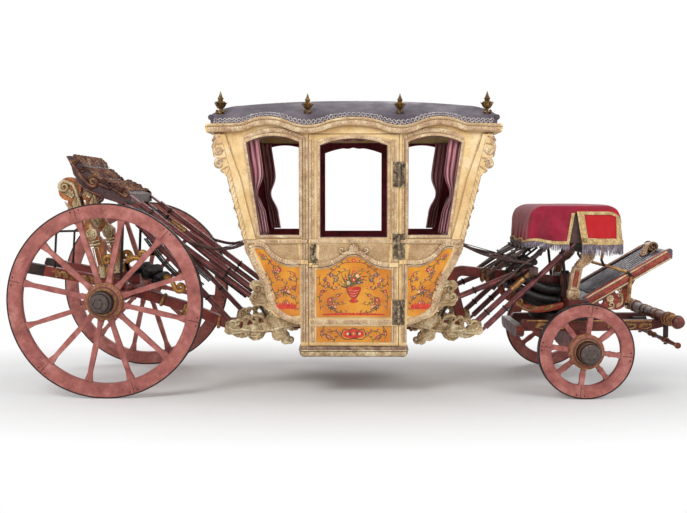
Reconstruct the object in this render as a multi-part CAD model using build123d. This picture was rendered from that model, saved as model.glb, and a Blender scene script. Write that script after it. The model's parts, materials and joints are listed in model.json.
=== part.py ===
from build123d import *
import os
from math import asin, cos, degrees, hypot, radians, sin, sqrt, tan

# A gala coach on four wheels, in millimetres. +X is forwards, +Y is the coach's left
# side, +Z is up. The origin is on the ground, below the middle of the whole coach.

# Reach of the spaces that cut all the way through
far = 3000

# Wheels
wheel_track = 1620
rear_axle_x = -2030
front_axle_x = 2020
rear_wheel_radius = 825
front_wheel_radius = 405
tyre_thickness = 12
felloe_width = 58
spoke_thickness = 42
spoke_waist = 36
spoke_root = 60
nave_seat_half = 38
arm_radius = 32
arm_clearance = 0.5
nave_gap = 5

# Axles
axle_bar = 64
rear_bed_length = 120
rear_bed_bottom = 778
front_bed_length = 130
front_bed_bottom = 360
front_bed_top = 500
bed_end_gap = 25

# Perch
perch_width = 90
perch_depth = 92
perch_height = 520
perch_neck_x = 1075
perch_neck_bend = 95
perch_seat = 25

# Rear stand
rail_y = 280
rail_depth = 92
rail_width = 80
rail_tail = 850
rail_slope = 10.2
post_width = 96
crest_half_width = 450
rear_stay_y = 356
stay_radius = 13

# Cabin
cabin_x = 65
cabin_width = 1480
wall = 45
cabin_bottom = 612
cabin_top = 2232
waist = 1335
waist_half = 920
shoulder_half = 1144
pillar_width = 68
door_half = 379
door_gap = 5
door_bottom = 438
door_top = 2226
soft_gap = 0.3
sill_height = 86
border_width = 22
border_depth = 8
moulding_width = 36
moulding_depth = 12
bench_height = 300
bench_depth = 360
tunnel_half = 120
well_wall = 30

# Roof
cant_height = 98
cornice_height = 68
cornice_depth = 45
roof_foot = 153
roof_rise = 165
roof_skin = 14
roof_rim = 12
roof_half_length = 1192
roof_edge = cabin_top + roof_foot
roof_crown = roof_edge + roof_rise
cross_rise = 24
gutter_radius = 24

# Door hinges
hinge_offset = 14
hinge_barrel = 11
hinge_pin = 5
hinge_length = 210
hinge_heights = (cabin_bottom + 113, waist - 50, cabin_top - 342)

# Fore-carriage
kingpin_radius = 20
kingpin_clearance = 0.5
futchell_y = 250
futchell_width = 70
futchell_depth = 100
plate_radius = 330
plate_thickness = 28
plate_clearance = 0.5
splinter_x = front_axle_x + 805
splinter_z = 637
splinter_radius = 48
splinter_half = 760
swingletree_y = 370
swingletree_half = 325
swingletree_z = 434
swingletree_radius = 24
swing_pin_radius = 9
pole_bore = 45
pole_socket_length = 120
pole_socket_wall = 16

# Front stand
transom_top = 800
transom_half = 470
transom_length = 140
front_post_y = 370
front_post_width = 78
seat_iron_y = 300
seat_bottom = 1300
seat_top = 1614
seat_rear = front_axle_x - 415
seat_front = front_axle_x + 375
seat_half = 460
seat_round = 120
cloth_gap = 0.4
cloth_wall = 20
footboard_half = 350
footboard_thickness = 42
footboard_rail = 34
bracket_thickness = 40
beam_x = front_axle_x - 385
beam_z = 1052
beam_size = 76

# Straps and their brackets
strap_y = 420
strap_width = 70
strap_thickness = 16
bracket_width = 74

PLANES = {
    # plane: point at (u, v), direction that the outline is drawn out in
    "XZ": (lambda u, v: Vector(u, 0, v), Vector(0, 1, 0)),
    "YZ": (lambda u, v: Vector(0, u, v), Vector(1, 0, 0)),
    "XY": (lambda u, v: Vector(u, v, 0), Vector(0, 0, 1)),
}


def face_of(plane, steps):
    """Face inside a closed outline. A step is (u, v), or (u, v, mid_u, mid_v) where an arc leads to it."""
    place = PLANES[plane][0]
    points = [place(*step[:2]) for step in steps]
    edges = []
    for here, there, step in zip(points, points[1:], steps[1:]):
        if len(step) == 4:
            edges.append(ThreePointArc(here, place(*step[2:]), there))
        else:
            edges.append(Line(here, there))
    if (points[-1] - points[0]).length > 1e-6:
        edges.append(Line(points[-1], points[0]))
    return Face(Wire(edges))


def drawn_out(plane, face, low, high):
    out = PLANES[plane][1]
    return extrude(face.moved(Location(out * low)), amount=high - low, dir=out)


def prism(plane, steps, low, high):
    """Outline in a plane, drawn out from low to high along the plane's normal."""
    return drawn_out(plane, face_of(plane, steps), low, high)


def block(x, y, z):
    """Box between the low and the high of each range."""
    size = Box(x[1] - x[0], y[1] - y[0], z[1] - z[0])
    return Pos((x[0] + x[1]) / 2, (y[0] + y[1]) / 2, (z[0] + z[1]) / 2) * size


def turned(rings):
    """Solid turned about +Z from rows of (height, radius)."""
    profile = [(0, rings[0][0])]
    profile += [(radius, height) for height, radius in rings]
    profile += [(0, rings[-1][0])]
    return revolve(face_of("XZ", profile), Axis.Z)


def rod(start, end, radius):
    """Round bar between two points."""
    run = Vector(*end) - Vector(*start)
    return extrude(Plane(origin=start, z_dir=run) * Circle(radius), amount=run.length)


def bent_rod(points, radius):
    """Round bar along a route of straight runs."""
    route = Polyline(*points)
    start = Plane(origin=route @ 0, z_dir=route % 0)
    return sweep(start * Circle(radius), path=route, transition=Transition.RIGHT)


def flat_bar(start, end, y, width, thickness):
    """Flat bar between two points (x, z), its width across the coach."""
    run_x = end[0] - start[0]
    run_z = end[1] - start[1]
    half = thickness / 2 / hypot(run_x, run_z)
    side = (-run_z * half, run_x * half)
    corners = [(start[0] + side[0], start[1] + side[1]), (end[0] + side[0], end[1] + side[1]),
               (end[0] - side[0], end[1] - side[1]), (start[0] - side[0], start[1] - side[1])]
    return prism("XZ", corners, y - width / 2, y + width / 2)


def other_side(shape):
    """The same piece on the other side of the coach."""
    return mirror(shape, about=Plane.XZ)


def other_end(shape):
    """The same piece at the other end of the cabin."""
    return mirror(shape, about=Plane(origin=(cabin_x, 0, 0), z_dir=(1, 0, 0)))


def both_sides(*shapes):
    return list(shapes) + [other_side(shape) for shape in shapes]


def write(node, *shapes):
    """One STEP file for a node, with each of its solids."""
    solids = [solid for shape in shapes for solid in shape.solids()]
    export_step(Compound(children=solids) if len(solids) > 1 else solids[0], f"parts/{node}.step")


# Wheels, made about the axle at the origin, with the outer side at +Z

NAVES = {
    # axle: rows of (distance out from the wheel's plane, radius)
    "rear": [(-150, 84), (-135, 92), (-95, 92), (-60, 118), (-nave_seat_half, 150), (nave_seat_half, 150),
             (62, 128), (90, 98), (125, 90), (150, 92), (162, 80), (212, 76), (226, 60), (232, 30)],
    "front": [(-125, 80), (-112, 88), (-80, 88), (-54, 112), (-nave_seat_half, 143), (nave_seat_half, 143),
              (58, 124), (80, 98), (108, 90), (128, 92), (140, 84), (186, 82), (200, 66), (206, 34)],
}
WHEELS = {
    # axle: radius, felloe depth, spokes, angle of the first spoke
    "rear": (rear_wheel_radius, 113, 12, 17.5),
    "front": (front_wheel_radius, 100, 8, 38),
}


def arm_end(axle):
    """How far the axle arm reaches out from the wheel's plane, inside the nave."""
    return NAVES[axle][-1][0] - 24


def nave_inner(axle):
    """How far the nave reaches in from the wheel's plane."""
    return -NAVES[axle][0][0]


def spoke(inner, outer):
    """Spoke along +X, waisted near both ends."""
    waist_in = inner + 70 * (outer - inner) / 550
    waist_out = outer - 80 * (outer - inner) / 550
    middle = (inner + outer) / 2
    half = [(inner, spoke_root / 2), (waist_in, spoke_waist / 2), (middle, spoke_waist / 2 + 4),
            (waist_out, spoke_waist / 2), (outer, spoke_root / 2 + 4)]
    corners = half + [(x, -y) for x, y in reversed(half)]
    return prism("XY", corners, -spoke_thickness / 2, spoke_thickness / 2)


def wooden_wheel(axle):
    """Nave, spokes and felloes of one wheel."""
    radius, felloe, count, first = WHEELS[axle]
    outer = radius - tyre_thickness
    inner = outer - felloe
    seat = max(ring[1] for ring in NAVES[axle])
    rim = Pos(0, 0, -felloe_width / 2) * extrude(Circle(outer) - Circle(inner), amount=felloe_width)
    wheel = turned(NAVES[axle]) + rim
    for turn in range(round(count)):
        wheel += Rot(0, 0, first + turn * 360 / round(count)) * spoke(seat - 6, inner + 6)
    hole = Pos(0, 0, -nave_inner(axle) - 1) * extrude(
        Circle(arm_radius + arm_clearance), amount=nave_inner(axle) + arm_end(axle) + 4)
    return wheel - hole


def tyre(axle):
    radius = WHEELS[axle][0]
    hoop = extrude(Circle(radius) - Circle(radius - tyre_thickness), amount=felloe_width)
    return Pos(0, 0, -felloe_width / 2) * hoop


def axle_centre(axle):
    return (rear_axle_x, rear_wheel_radius) if axle == "rear" else (front_axle_x, front_wheel_radius)


def set_on_axle(axle, shape):
    """A wheel's piece moved to the coach's right side."""
    x, z = axle_centre(axle)
    return Pos(x, -wheel_track / 2, z) * (Rot(90, 0, 0) * shape)


def axletree(axle):
    """Iron bar with a round arm for each wheel and a collar that the nave runs against."""
    x, z = axle_centre(axle)
    collar = wheel_track / 2 - nave_inner(axle) - nave_gap
    bar = block((x - axle_bar / 2, x + axle_bar / 2), (-collar, collar), (z - axle_bar / 2, z + axle_bar / 2))
    reach = wheel_track / 2 + arm_end(axle)
    arms = Pos(x, 0, z) * (Rot(90, 0, 0) * Cylinder(arm_radius, 2 * reach))
    collars = Pos(x, 0, z) * (Rot(90, 0, 0) * Cylinder(arm_radius + 16, 2 * collar))
    inner = Pos(x, 0, z) * (Rot(90, 0, 0) * Cylinder(arm_radius + 17, 2 * collar - 24))
    return bar + arms + (collars - inner)


# Running gear

def rear_bed():
    """Wooden bed over the rear axletree, which passes through it."""
    half = wheel_track / 2 - nave_inner("rear") - nave_gap - bed_end_gap
    top = rail_underside(rear_axle_x)
    ends = [(-half, rear_bed_bottom + 30), (-half + 40, rear_bed_bottom), (half - 40, rear_bed_bottom),
            (half, rear_bed_bottom + 30), (half, top), (-half, top)]
    low = rear_axle_x - rear_bed_length / 2
    return prism("YZ", ends, low, low + rear_bed_length) - axletree("rear")


def rail_underside(x):
    """Height of the rear rails' underside: it meets the bed, and drops forwards."""
    return 874 - (x - rear_axle_x) * tan(radians(rail_slope))


def rear_rail():
    """Bearer that reaches out behind, on the right side."""
    tail = rear_axle_x - rail_tail
    head = rear_axle_x + rear_bed_length / 2
    steps = [(head, rail_underside(head)), (head, rail_underside(head) + rail_depth),
             (tail + 30, rail_underside(tail + 30) + rail_depth),
             (tail + 20, rail_underside(tail + 20), tail, rail_underside(tail) + rail_depth / 2)]
    rail = prism("XZ", steps, -rail_y - rail_width / 2, -rail_y + rail_width / 2)
    notch = block((rear_axle_x - rear_bed_length / 2, rear_axle_x + rear_bed_length / 2), (-600, 600),
                  (rear_bed_bottom, rail_underside(rear_axle_x)))
    return rail - notch


def rear_post():
    """Carved standard that leans back from the rail to a volute, on the right side."""
    foot = rear_axle_x - 149
    foot_z = rail_underside(foot) + rail_depth
    side = [(foot - 58, foot_z + 10), (foot + 58, foot_z - 10), (foot + 50, foot_z + 62), (foot + 30, foot_z + 84),
            (foot + 14, 1300), (foot - 44, 1362), (foot - 36, 1396), (foot - 98, 1452), (foot - 190, 1640),
            (foot - 204, 1700), (foot - 232, 1862, foot - 182, 1796), (foot - 372, 1780, foot - 330, 1862),
            (foot - 296, 1668, foot - 362, 1706), (foot - 290, 1600), (foot - 200, 1420), (foot - 146, 1372),
            (foot - 130, 1330), (foot - 78, 1288), (foot - 34, foot_z + 92), (foot - 52, foot_z + 64)]
    return prism("XZ", side, -rail_y - post_width / 2, -rail_y + post_width / 2)


def crest_board():
    """Carved board across the standards, dropping forwards to the braces' heads."""
    tail = rear_axle_x - 415
    head = rear_axle_x + 133
    side = [(tail, 2056), (tail + 130, 1985, tail + 78, 2048), (tail + 300, 1838), (tail + 440, 1790, tail + 380, 1830),
            (head, 1730), (head + 8, 1660), (head - 70, 1640), (head - 230, 1690), (tail + 130, 1800),
            (tail + 60, 1900), (tail + 40, 1980)]
    board = prism("XZ", side, -crest_half_width, crest_half_width)
    return board - rear_post() - other_side(rear_post())


def rear_stay():
    """Iron stay from the rear bed to the crest's front edge, on the right side."""
    foot = (rear_axle_x + 20, -rear_stay_y, rail_underside(rear_axle_x) - 6)
    prop = rod(foot, (rear_axle_x + 60, -rear_stay_y, 1700), stay_radius)
    return largest(prop - crest_board() - rear_bed())


def perch_route():
    """Crane-neck perch: out of the rear bed, under the cabin, up and over the fore-carriage."""
    start = rear_axle_x + rear_bed_length / 2
    top = transom_top + 235
    return [(start - perch_seat, 0, 836), (start + 470, 0, 690), (-1120, 0, perch_height + 15),
            (perch_neck_x, 0, perch_height), (perch_neck_x - 130, 0, top),
            (front_axle_x - transom_length / 2 + perch_seat, 0, 925)]


def perch():
    route = FilletPolyline(*perch_route(), radius=perch_neck_bend)
    start = Plane(origin=route @ 0, x_dir=(0, 1, 0), z_dir=route % 0)
    section = RectangleRounded(perch_width, perch_depth, 14)
    return largest(sweep(start * section, path=route) - rear_bed() - front_transom())


def perch_top(x):
    """Height of the perch's upper face on its last run, over the fore-carriage."""
    (x0, _, z0), (x1, _, z1) = perch_route()[-2:]
    slope = (z1 - z0) / (x1 - x0)
    return z0 + (x - x0) * slope + perch_depth / 2 * sqrt(1 + slope * slope)


def front_transom():
    """Beam across the front that carries the standards, with a head block for the perch."""
    x = (front_axle_x - transom_length / 2, front_axle_x + transom_length / 2)
    low = transom_bottom()
    ends = [(-transom_half, low + 40), (-transom_half + 60, low), (transom_half - 60, low),
            (transom_half, low + 40), (transom_half, transom_top), (-transom_half, transom_top)]
    beam = prism("YZ", ends, x[0], x[1])
    head = block(x, (-110, 110), (transom_top, transom_top + 200))
    return beam + head - kingpin_hole(0)


def transom_bottom():
    return front_bed_top + futchell_depth + 2 * plate_thickness + plate_clearance


def kingpin_hole(clearance):
    return Pos(front_axle_x, 0, 0) * extrude(Circle(kingpin_radius + clearance), amount=transom_top + 300)


def kingpin():
    """Pin that the fore-carriage turns on, with a head above and a nut below."""
    top = transom_top + 200
    low = front_bed_bottom - 2
    shank = Pos(front_axle_x, 0, low - 18) * extrude(Circle(kingpin_radius), amount=top + 22 - low + 18)
    head = Pos(front_axle_x, 0, top) * extrude(Circle(kingpin_radius + 16), amount=22)
    nut = Pos(front_axle_x, 0, low - 18) * extrude(RegularPolygon(kingpin_radius + 14, 6), amount=18)
    return shank + head + nut


def upper_plate():
    """Upper turntable plate, fixed under the transom."""
    low = front_bed_top + futchell_depth + plate_thickness + plate_clearance
    ring = extrude(Circle(plate_radius) - Circle(plate_radius - 70), amount=plate_thickness)
    bar = block((-35, 35), (-plate_radius + 30, plate_radius - 30), (0, plate_thickness))
    return Pos(front_axle_x, 0, low) * (ring + bar) - kingpin_hole(0)


# Fore-carriage

def front_bed():
    """Wooden bed round the front axletree, with a block that fills up to the turntable."""
    half = wheel_track / 2 - nave_inner("front") - nave_gap - bed_end_gap
    ends = [(-half, front_bed_bottom + 25), (-half + 50, front_bed_bottom), (half - 50, front_bed_bottom),
            (half, front_bed_bottom + 25), (half, front_bed_top - 45), (half - 120, front_bed_top),
            (-half + 120, front_bed_top), (-half, front_bed_top - 45)]
    low = front_axle_x - front_bed_length / 2
    bed = prism("YZ", ends, low, low + front_bed_length)
    inner = futchell_y - futchell_width / 2
    block_between = block((low, low + front_bed_length), (-inner, inner),
                          (front_bed_top - 5, front_bed_top + futchell_depth))
    return bed + block_between - axletree("front") - kingpin_hole(kingpin_clearance)


def front_axletree():
    return axletree("front") - kingpin_hole(kingpin_clearance)


def splinter_bar():
    """Bar across the front that the horses draw on, with turned ends."""
    half = [(0, splinter_radius), (430, splinter_radius), (445, splinter_radius + 7), (520, splinter_radius + 7),
            (535, splinter_radius - 4), (640, splinter_radius - 8), (655, splinter_radius + 3),
            (700, splinter_radius + 6), (740, splinter_radius), (splinter_half, splinter_radius - 22)]
    bar = turned(half) + mirror(turned(half), about=Plane.XY)
    return Pos(splinter_x, 0, splinter_z) * (Rot(90, 0, 0) * bar)


def futchells():
    """Two bars from the sway bar, over the bed, to the splinter bar, joined by the sway bar."""
    tail = front_axle_x - 445
    head = splinter_x + 20
    low = front_bed_top
    high = low + futchell_depth
    side = [(tail, low), (tail, high - 20), (tail + 20, high), (head - 8, high), (head, high - 12),
            (head, high - 60), (head - 120, low + 10), (front_axle_x + 260, low)]
    bar = prism("XZ", side, -futchell_y - futchell_width / 2, -futchell_y + futchell_width / 2)
    sway = prism("YZ", [(-420, low + 30), (-400, low - 20), (-330, low - 45), (330, low - 45), (400, low - 20),
                        (420, low + 30), (380, low + 55), (-380, low + 55)], tail - 70, tail)
    return bar + other_side(bar) + sway - splinter_bar()


def lower_plate():
    """Lower turntable plate, on the futchells."""
    low = front_bed_top + futchell_depth
    ring = extrude(Circle(plate_radius) - Circle(plate_radius - 70), amount=plate_thickness)
    bar = block((-35, 35), (-plate_radius + 30, plate_radius - 30), (0, plate_thickness))
    return Pos(front_axle_x, 0, low) * (ring + bar) - kingpin_hole(kingpin_clearance)


def pole_socket():
    """Iron hoop between the futchells that the pole goes into."""
    z = splinter_z - splinter_radius - pole_bore - 9
    outer = pole_bore + pole_socket_wall
    inner_y = futchell_y - futchell_width / 2
    length = pole_socket_length
    start = splinter_x - splinter_radius - 6 - length
    hoop = Rot(0, 90, 0) * extrude(Circle(outer), amount=length)
    web = block((30, length - 30), (-inner_y, inner_y), (-14, 14))
    bore = Pos(-1, 0, 0) * (Rot(0, 90, 0) * extrude(Circle(pole_bore), amount=length + 2))
    return Pos(start, 0, z) * (hoop + web - bore)


def swing_link():
    """Iron that hangs under the splinter bar and ends in the swingletree's upright pin."""
    x = splinter_x + 10
    y = -swingletree_y
    eye_top = swingletree_z + swingletree_radius + 2
    plate = block((x - 16, x + 16), (y - 24, y + 24), (eye_top, splinter_z))
    pin = Pos(x, y, swingletree_z - swingletree_radius - 14) * extrude(
        Circle(swing_pin_radius), amount=2 * swingletree_radius + 16)
    nut = Pos(x, y, swingletree_z - swingletree_radius - 14) * extrude(
        RegularPolygon(swing_pin_radius + 8, 6), amount=12)
    return plate + pin + nut - splinter_bar()


def swingletree():
    """Bar that swings on the link's pin, with a ball at each end, on the right side."""
    half = [(0, swingletree_radius), (30, swingletree_radius), (60, swingletree_radius - 3),
            (swingletree_half - 60, swingletree_radius - 9), (swingletree_half - 42, swingletree_radius - 8),
            (swingletree_half - 36, swingletree_radius), (swingletree_half - 12, swingletree_radius),
            (swingletree_half, swingletree_radius - 10)]
    bar = turned(half) + mirror(turned(half), about=Plane.XY)
    hole = Pos(0, 0, -50) * extrude(Circle(swing_pin_radius + 0.5), amount=100)
    return Pos(splinter_x + 10, -swingletree_y, swingletree_z) * (Rot(90, 0, 0) * bar - hole)


# Front stand and seat

def front_post():
    """Carved standard that leans forwards from the transom to the seat, on the right side."""
    foot = front_axle_x - 10
    top = front_axle_x + 110
    side = [(foot - 45, transom_top), (foot + 45, transom_top), (foot + 52, transom_top + 60),
            (foot + 40, transom_top + 90), (foot + 62, 1010), (foot + 78, 1100), (top + 36, 1140),
            (top + 58, seat_bottom - 92, top + 56, 1170), (top - 50, seat_bottom - 92), (top - 46, 1140),
            (foot - 4, 1080), (foot - 26, 1000), (foot - 36, transom_top + 90), (foot - 50, transom_top + 60)]
    return prism("XZ", side, -front_post_y - front_post_width / 2, -front_post_y + front_post_width / 2)


def seat_frame():
    """Box seat on a cross beam that rests on the standards."""
    beam_low = seat_bottom - 92
    middle = front_axle_x + 114
    beam = block((middle - 54, middle + 54), (-seat_half + 20, seat_half - 20), (beam_low, seat_bottom))
    box = block((seat_rear, seat_front), (-seat_half, seat_half), (seat_bottom, seat_top))
    box = fillet(box.edges().filter_by(Axis.Y).group_by(Axis.Z)[-1], seat_round)
    hollow = block((seat_rear + 24, seat_front - 24), (-seat_half + 24, seat_half - 24),
                   (seat_bottom - 1, seat_bottom + 180))
    cross = block((middle - 54, middle + 54), (-seat_half, seat_half), (seat_bottom - 1, seat_bottom + 180))
    return beam + box - (hollow - cross)


def hammercloth():
    """Cloth cover over the seat, open below."""
    gap = cloth_gap
    low = seat_bottom - 36
    inner = block((seat_rear - gap, seat_front + gap), (-seat_half - gap, seat_half + gap), (low - 1, seat_top + gap))
    inner = fillet(inner.edges().filter_by(Axis.Y).group_by(Axis.Z)[-1], seat_round + gap)
    grow = gap + cloth_wall
    outer = block((seat_rear - grow, seat_front + grow), (-seat_half - grow, seat_half + grow), (low, seat_top + grow))
    outer = fillet(outer.edges().filter_by(Axis.Y).group_by(Axis.Z)[-1], seat_round + grow)
    return outer - inner


def seat_iron():
    """Round iron from the transom to the rear of the seat box, on the right side."""
    x = front_axle_x - transom_length / 2 + 24
    iron = rod((x, -seat_iron_y, transom_top - 5), (x - 60, -seat_iron_y, seat_bottom + 5), stay_radius)
    return largest(iron - front_transom() - seat_frame())


def footboard_line(along, up):
    """Point (x, z) at a distance along the footboard from its lower edge and up from its face."""
    start = (front_axle_x + transom_length / 2, 770)
    slope = radians(30.4)
    return (start[0] + along * cos(slope) - up * sin(slope), start[1] + along * sin(slope) + up * cos(slope))


def footboard():
    """Sloping board with a moulded rail along each side."""
    length = 905
    board = prism("XZ", [footboard_line(12, 0), footboard_line(length, 0),
                         footboard_line(length, -footboard_thickness), footboard_line(36, -footboard_thickness)],
                  -footboard_half, footboard_half)
    side = prism("XZ", [footboard_line(20, 24), footboard_line(length - 30, 24),
                        footboard_line(length, -10) + footboard_line(length + 4, 16), footboard_line(length - 30, -60),
                        footboard_line(52, -60)],
                 -footboard_half - footboard_rail, -footboard_half)
    return board + side + other_side(side)


def footboard_bracket():
    """Pierced bracket from the transom under the footboard, on the right side."""
    x = front_axle_x + transom_length / 2
    low = transom_bottom() + 44
    side = [(x, low), (x + 290, low), (x + 410, low + 90, x + 370, low + 20), (x + 432, low + 190),
            footboard_line(560, -footboard_thickness), footboard_line(45, -footboard_thickness), (x, transom_top - 20)]
    web = prism("XZ", side, -footboard_half + 6, -footboard_half + 6 + bracket_thickness)
    for along, up, hole in ((155, -44, 24), (330, -36, 27)):
        x_hole, z_hole = footboard_line(along, up - footboard_thickness)
        web -= Pos(x_hole, 0, z_hole) * (Rot(90, 0, 0) * Cylinder(hole, far))
    return largest(web - footboard())


def footboard_stay():
    """Bent iron from the seat box, round the footboard's rail, to the bracket's nose, on the right side."""
    x = front_axle_x + transom_length / 2
    outside = -footboard_half - footboard_rail - stay_radius - 1
    low = transom_bottom() + 100
    route = [(x + 172, -seat_half + 12, seat_bottom + 4), (x + 150, -seat_half + 34, seat_bottom - 150),
             (x + 176, outside - 8, seat_bottom - 196), (x + 390, outside, seat_bottom - 258),
             (x + 424, outside, seat_bottom - 290), (x + 402, outside, low), (x + 392, -footboard_half + 8, low - 6)]
    return largest(bent_rod(route, stay_radius - 2) - seat_frame() - footboard_bracket())


def tail_iron():
    """Bent iron from the standard's back to the rear rail, on the right side."""
    foot = rear_axle_x - 149
    y = -rail_y
    tail = foot - 420
    route = [(foot - 150, y, 1400), (tail + 24, y, 1394), (tail, y, 1372),
             (tail - 20, y, rail_underside(tail) + rail_depth - 4)]
    return largest(bent_rod(route, stay_radius - 3) - rear_post() - rear_rail())


def strap_beam():
    """Beam across the perch that the front braces hang from."""
    x = (beam_x - beam_size / 2, beam_x + beam_size / 2)
    low = perch_top(beam_x - beam_size / 2)
    ends = [(-500, low + 12), (-450, low), (450, low), (500, low + 12), (500, low + beam_size), (-500, low + beam_size)]
    return prism("YZ", ends, x[0], x[1]) - perch()


# Cabin

def belly(share):
    """Height at a share of the way up from the cabin's floor line to its waist."""
    return cabin_bottom + share * (waist - cabin_bottom)


def cabin_half_side():
    """Half of the cabin's side outline, from the top down to the middle of the floor.

    Rows of (out from the middle, height), with the middle of the arc that leads there, if any.
    """
    lean = (shoulder_half - waist_half) / (cabin_top - waist)
    above = 110
    return [(shoulder_half + above * lean, cabin_top + above), (waist_half, waist),
            (waist_half + 4, belly(0.896)), (waist_half - 160, belly(0.4675), waist_half - 70, belly(0.693)),
            (waist_half - 198, belly(0.26), waist_half - 186, belly(0.364)),
            (waist_half - 320, belly(0.0844), waist_half - 230, belly(0.1425)),
            (waist_half - 473, cabin_bottom + 8, waist_half - 400, belly(0.04)),
            (0, cabin_bottom + 8)]


def drawn_in(point, before, after, depth):
    """Point (out, height) moved into the cabin, square to the run from before to after."""
    run = (after[0] - before[0], after[1] - before[1])
    share = depth / hypot(*run)
    return (point[0] + run[1] * share, point[1] - run[0] * share)


def cabin_section(depth=0):
    """Face of the cabin seen from the side, its outline drawn in by depth."""
    rows = cabin_half_side()
    half = []
    for place, row in enumerate(rows):
        before = rows[max(place - 1, 0)]
        after = rows[min(place + 1, len(rows) - 1)]
        moved = drawn_in(row, before, after, depth)
        if len(row) == 4:
            moved += drawn_in(row[2:], before, row, depth)
        half.append(moved)
    steps = [(cabin_x + half[0][0], half[0][1])]
    for step in half[1:-1]:
        steps.append(tuple(value + cabin_x if place % 2 == 0 else value for place, value in enumerate(step)))
    back = half[:-1]
    steps.append((cabin_x - back[-1][0], back[-1][1]))
    for here, step in zip(reversed(back[:-1]), reversed(back[1:])):
        arc = (cabin_x - step[2], step[3]) if len(step) == 4 else ()
        steps.append((cabin_x - here[0], here[1]) + arc)
    return face_of("XZ", steps)


def inner_half():
    return cabin_width / 2 - wall


def cabin_shell():
    """Walls, floor and open top of the cabin between its two sides."""
    outer = drawn_out("XZ", cabin_section(), -inner_half(), inner_half())
    return outer - drawn_out("XZ", cabin_section(wall), -inner_half(), inner_half())


def floor_half():
    return door_half + door_gap + pillar_width


def end_wall():
    """Front wall: one curved panel from the roof to the floor."""
    reach = block((cabin_x + floor_half(), cabin_x + far), (-far, far), (0, cabin_top))
    return cabin_shell() & reach


def front_window():
    return block((cabin_x + 700, cabin_x + 1400), (-430, 430), (waist + 405, cabin_top - 102))


def cabin_floor():
    """Floor with a foot well inside each door, either side of the perch."""
    half = floor_half()
    slab = cabin_shell() & block((cabin_x - half, cabin_x + half), (-far, far), (0, belly(0.5)))
    top = cabin_bottom + 8
    well_out = block((cabin_x - half, cabin_x + half), (-inner_half(), -tunnel_half), (door_bottom - door_gap, top))
    inside_x = (cabin_x - half + well_wall, cabin_x + half - well_wall)
    well_in = block(inside_x, (-inner_half() - 1, -tunnel_half - well_wall), (door_bottom - door_gap, top + 100))
    sill = door_bottom - door_gap
    edge = half + 8
    base = [(cabin_x - edge, sill), (cabin_x - edge - 8, sill - 26), (cabin_x - edge, sill - 40),
            (cabin_x - edge + 60, sill - sill_height, cabin_x - edge + 12, sill - 74),
            (cabin_x + edge - 60, sill - sill_height), (cabin_x + edge, sill - 40, cabin_x + edge - 12, sill - 74),
            (cabin_x + edge + 8, sill - 26), (cabin_x + edge, sill)]
    plinth = prism("XZ", base, -cabin_width / 2 - 22, -tunnel_half)
    solid = slab + well_out + other_side(well_out) - well_in - other_side(well_in)
    return solid + plinth + other_side(plinth)


QUARTER_WINDOW = [
    # out from the middle, height, then the middle of the arc that leads there
    (floor_half() + 6, waist + 45), (floor_half() + 6, cabin_top - 72), (905, cabin_top - 74, 690, cabin_top - 18),
    (792, waist + 45),
]
QUARTER_LINE = [
    # the painted panel's upper line, from the corner to the door's pillar
    (838, belly(0.899)), (742, belly(0.869), 790, belly(0.899)), (floor_half() + 6, belly(0.692), 600, belly(0.703)),
]
QUARTER_PANEL = QUARTER_LINE + [
    (floor_half() + 6, belly(0.122)), (648, belly(0.21), 600, belly(0.144)), (712, belly(0.523), 676, belly(0.371)),
]


def at_cabin(steps):
    """Outline of a piece of the cabin's side, measured from the cabin's middle."""
    return [tuple(value + cabin_x if place % 2 == 0 else value for place, value in enumerate(step)) for step in steps]


def side_border(window):
    """Raised border round a window of the right side."""
    face = face_of("XZ", at_cabin(window))
    wide = offset(face, amount=border_width, kind=Kind.INTERSECTION)
    outer = -cabin_width / 2
    ring = drawn_out("XZ", wide, outer - border_depth, outer) - drawn_out("XZ", face, outer - 20, outer + 1)
    room = block((cabin_x - far, cabin_x + far), (-far, far), (waist + 10, cabin_top))
    return (ring & room) - hinge_room()


def shaped_moulding(line):
    """Raised moulding over a painted panel, along its upper line, on the right side."""
    gap = 24
    upper = [tuple(value + gap + moulding_width if place % 2 else value for place, value in enumerate(step))
             for step in line]
    lower = [tuple(value + gap if place % 2 else value for place, value in enumerate(step)) for step in line]
    back = [lower[-1][:2]]
    for here, step in zip(reversed(lower[:-1]), reversed(lower[1:])):
        back.append(here[:2] + step[2:])
    outer = -cabin_width / 2
    return prism("XZ", at_cabin(upper + back), outer - moulding_depth, outer) - hinge_room()


def quarter():
    """Front right side wall, from the door's pillar to the corner, with its window and mouldings."""
    outer = cabin_width / 2
    plate = drawn_out("XZ", cabin_section(), -outer, -inner_half())
    edge = cabin_x + door_half + door_gap
    plate = plate & block((edge, cabin_x + far), (-far, far), (0, cabin_top))
    leg = block((edge, edge + pillar_width), (-outer, -inner_half()), (door_bottom - door_gap, cabin_bottom + 60))
    window = prism("XZ", at_cabin(QUARTER_WINDOW), -outer - 1, -inner_half() + 1)
    recess = prism("XZ", at_cabin(QUARTER_PANEL), -outer - 1, -outer + 6)
    rail = block((edge, cabin_x + waist_half + 2), (-outer - 12, -outer), (waist - 24, waist + 10))
    pillar_end = (door_half + door_gap, QUARTER_LINE[-1][1] - 4)
    moulding = shaped_moulding(QUARTER_LINE + [pillar_end]) & block((edge, cabin_x + far), (-far, 0), (0, far))
    wall_plate = plate + leg - window - recess
    return wall_plate + (rail - hinge_room()) + side_border(QUARTER_WINDOW) + moulding


def quarter_panel():
    """Painted panel, let into the side wall."""
    outer = cabin_width / 2
    return prism("XZ", at_cabin(QUARTER_PANEL), -outer - 3, -outer + 6)


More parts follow.
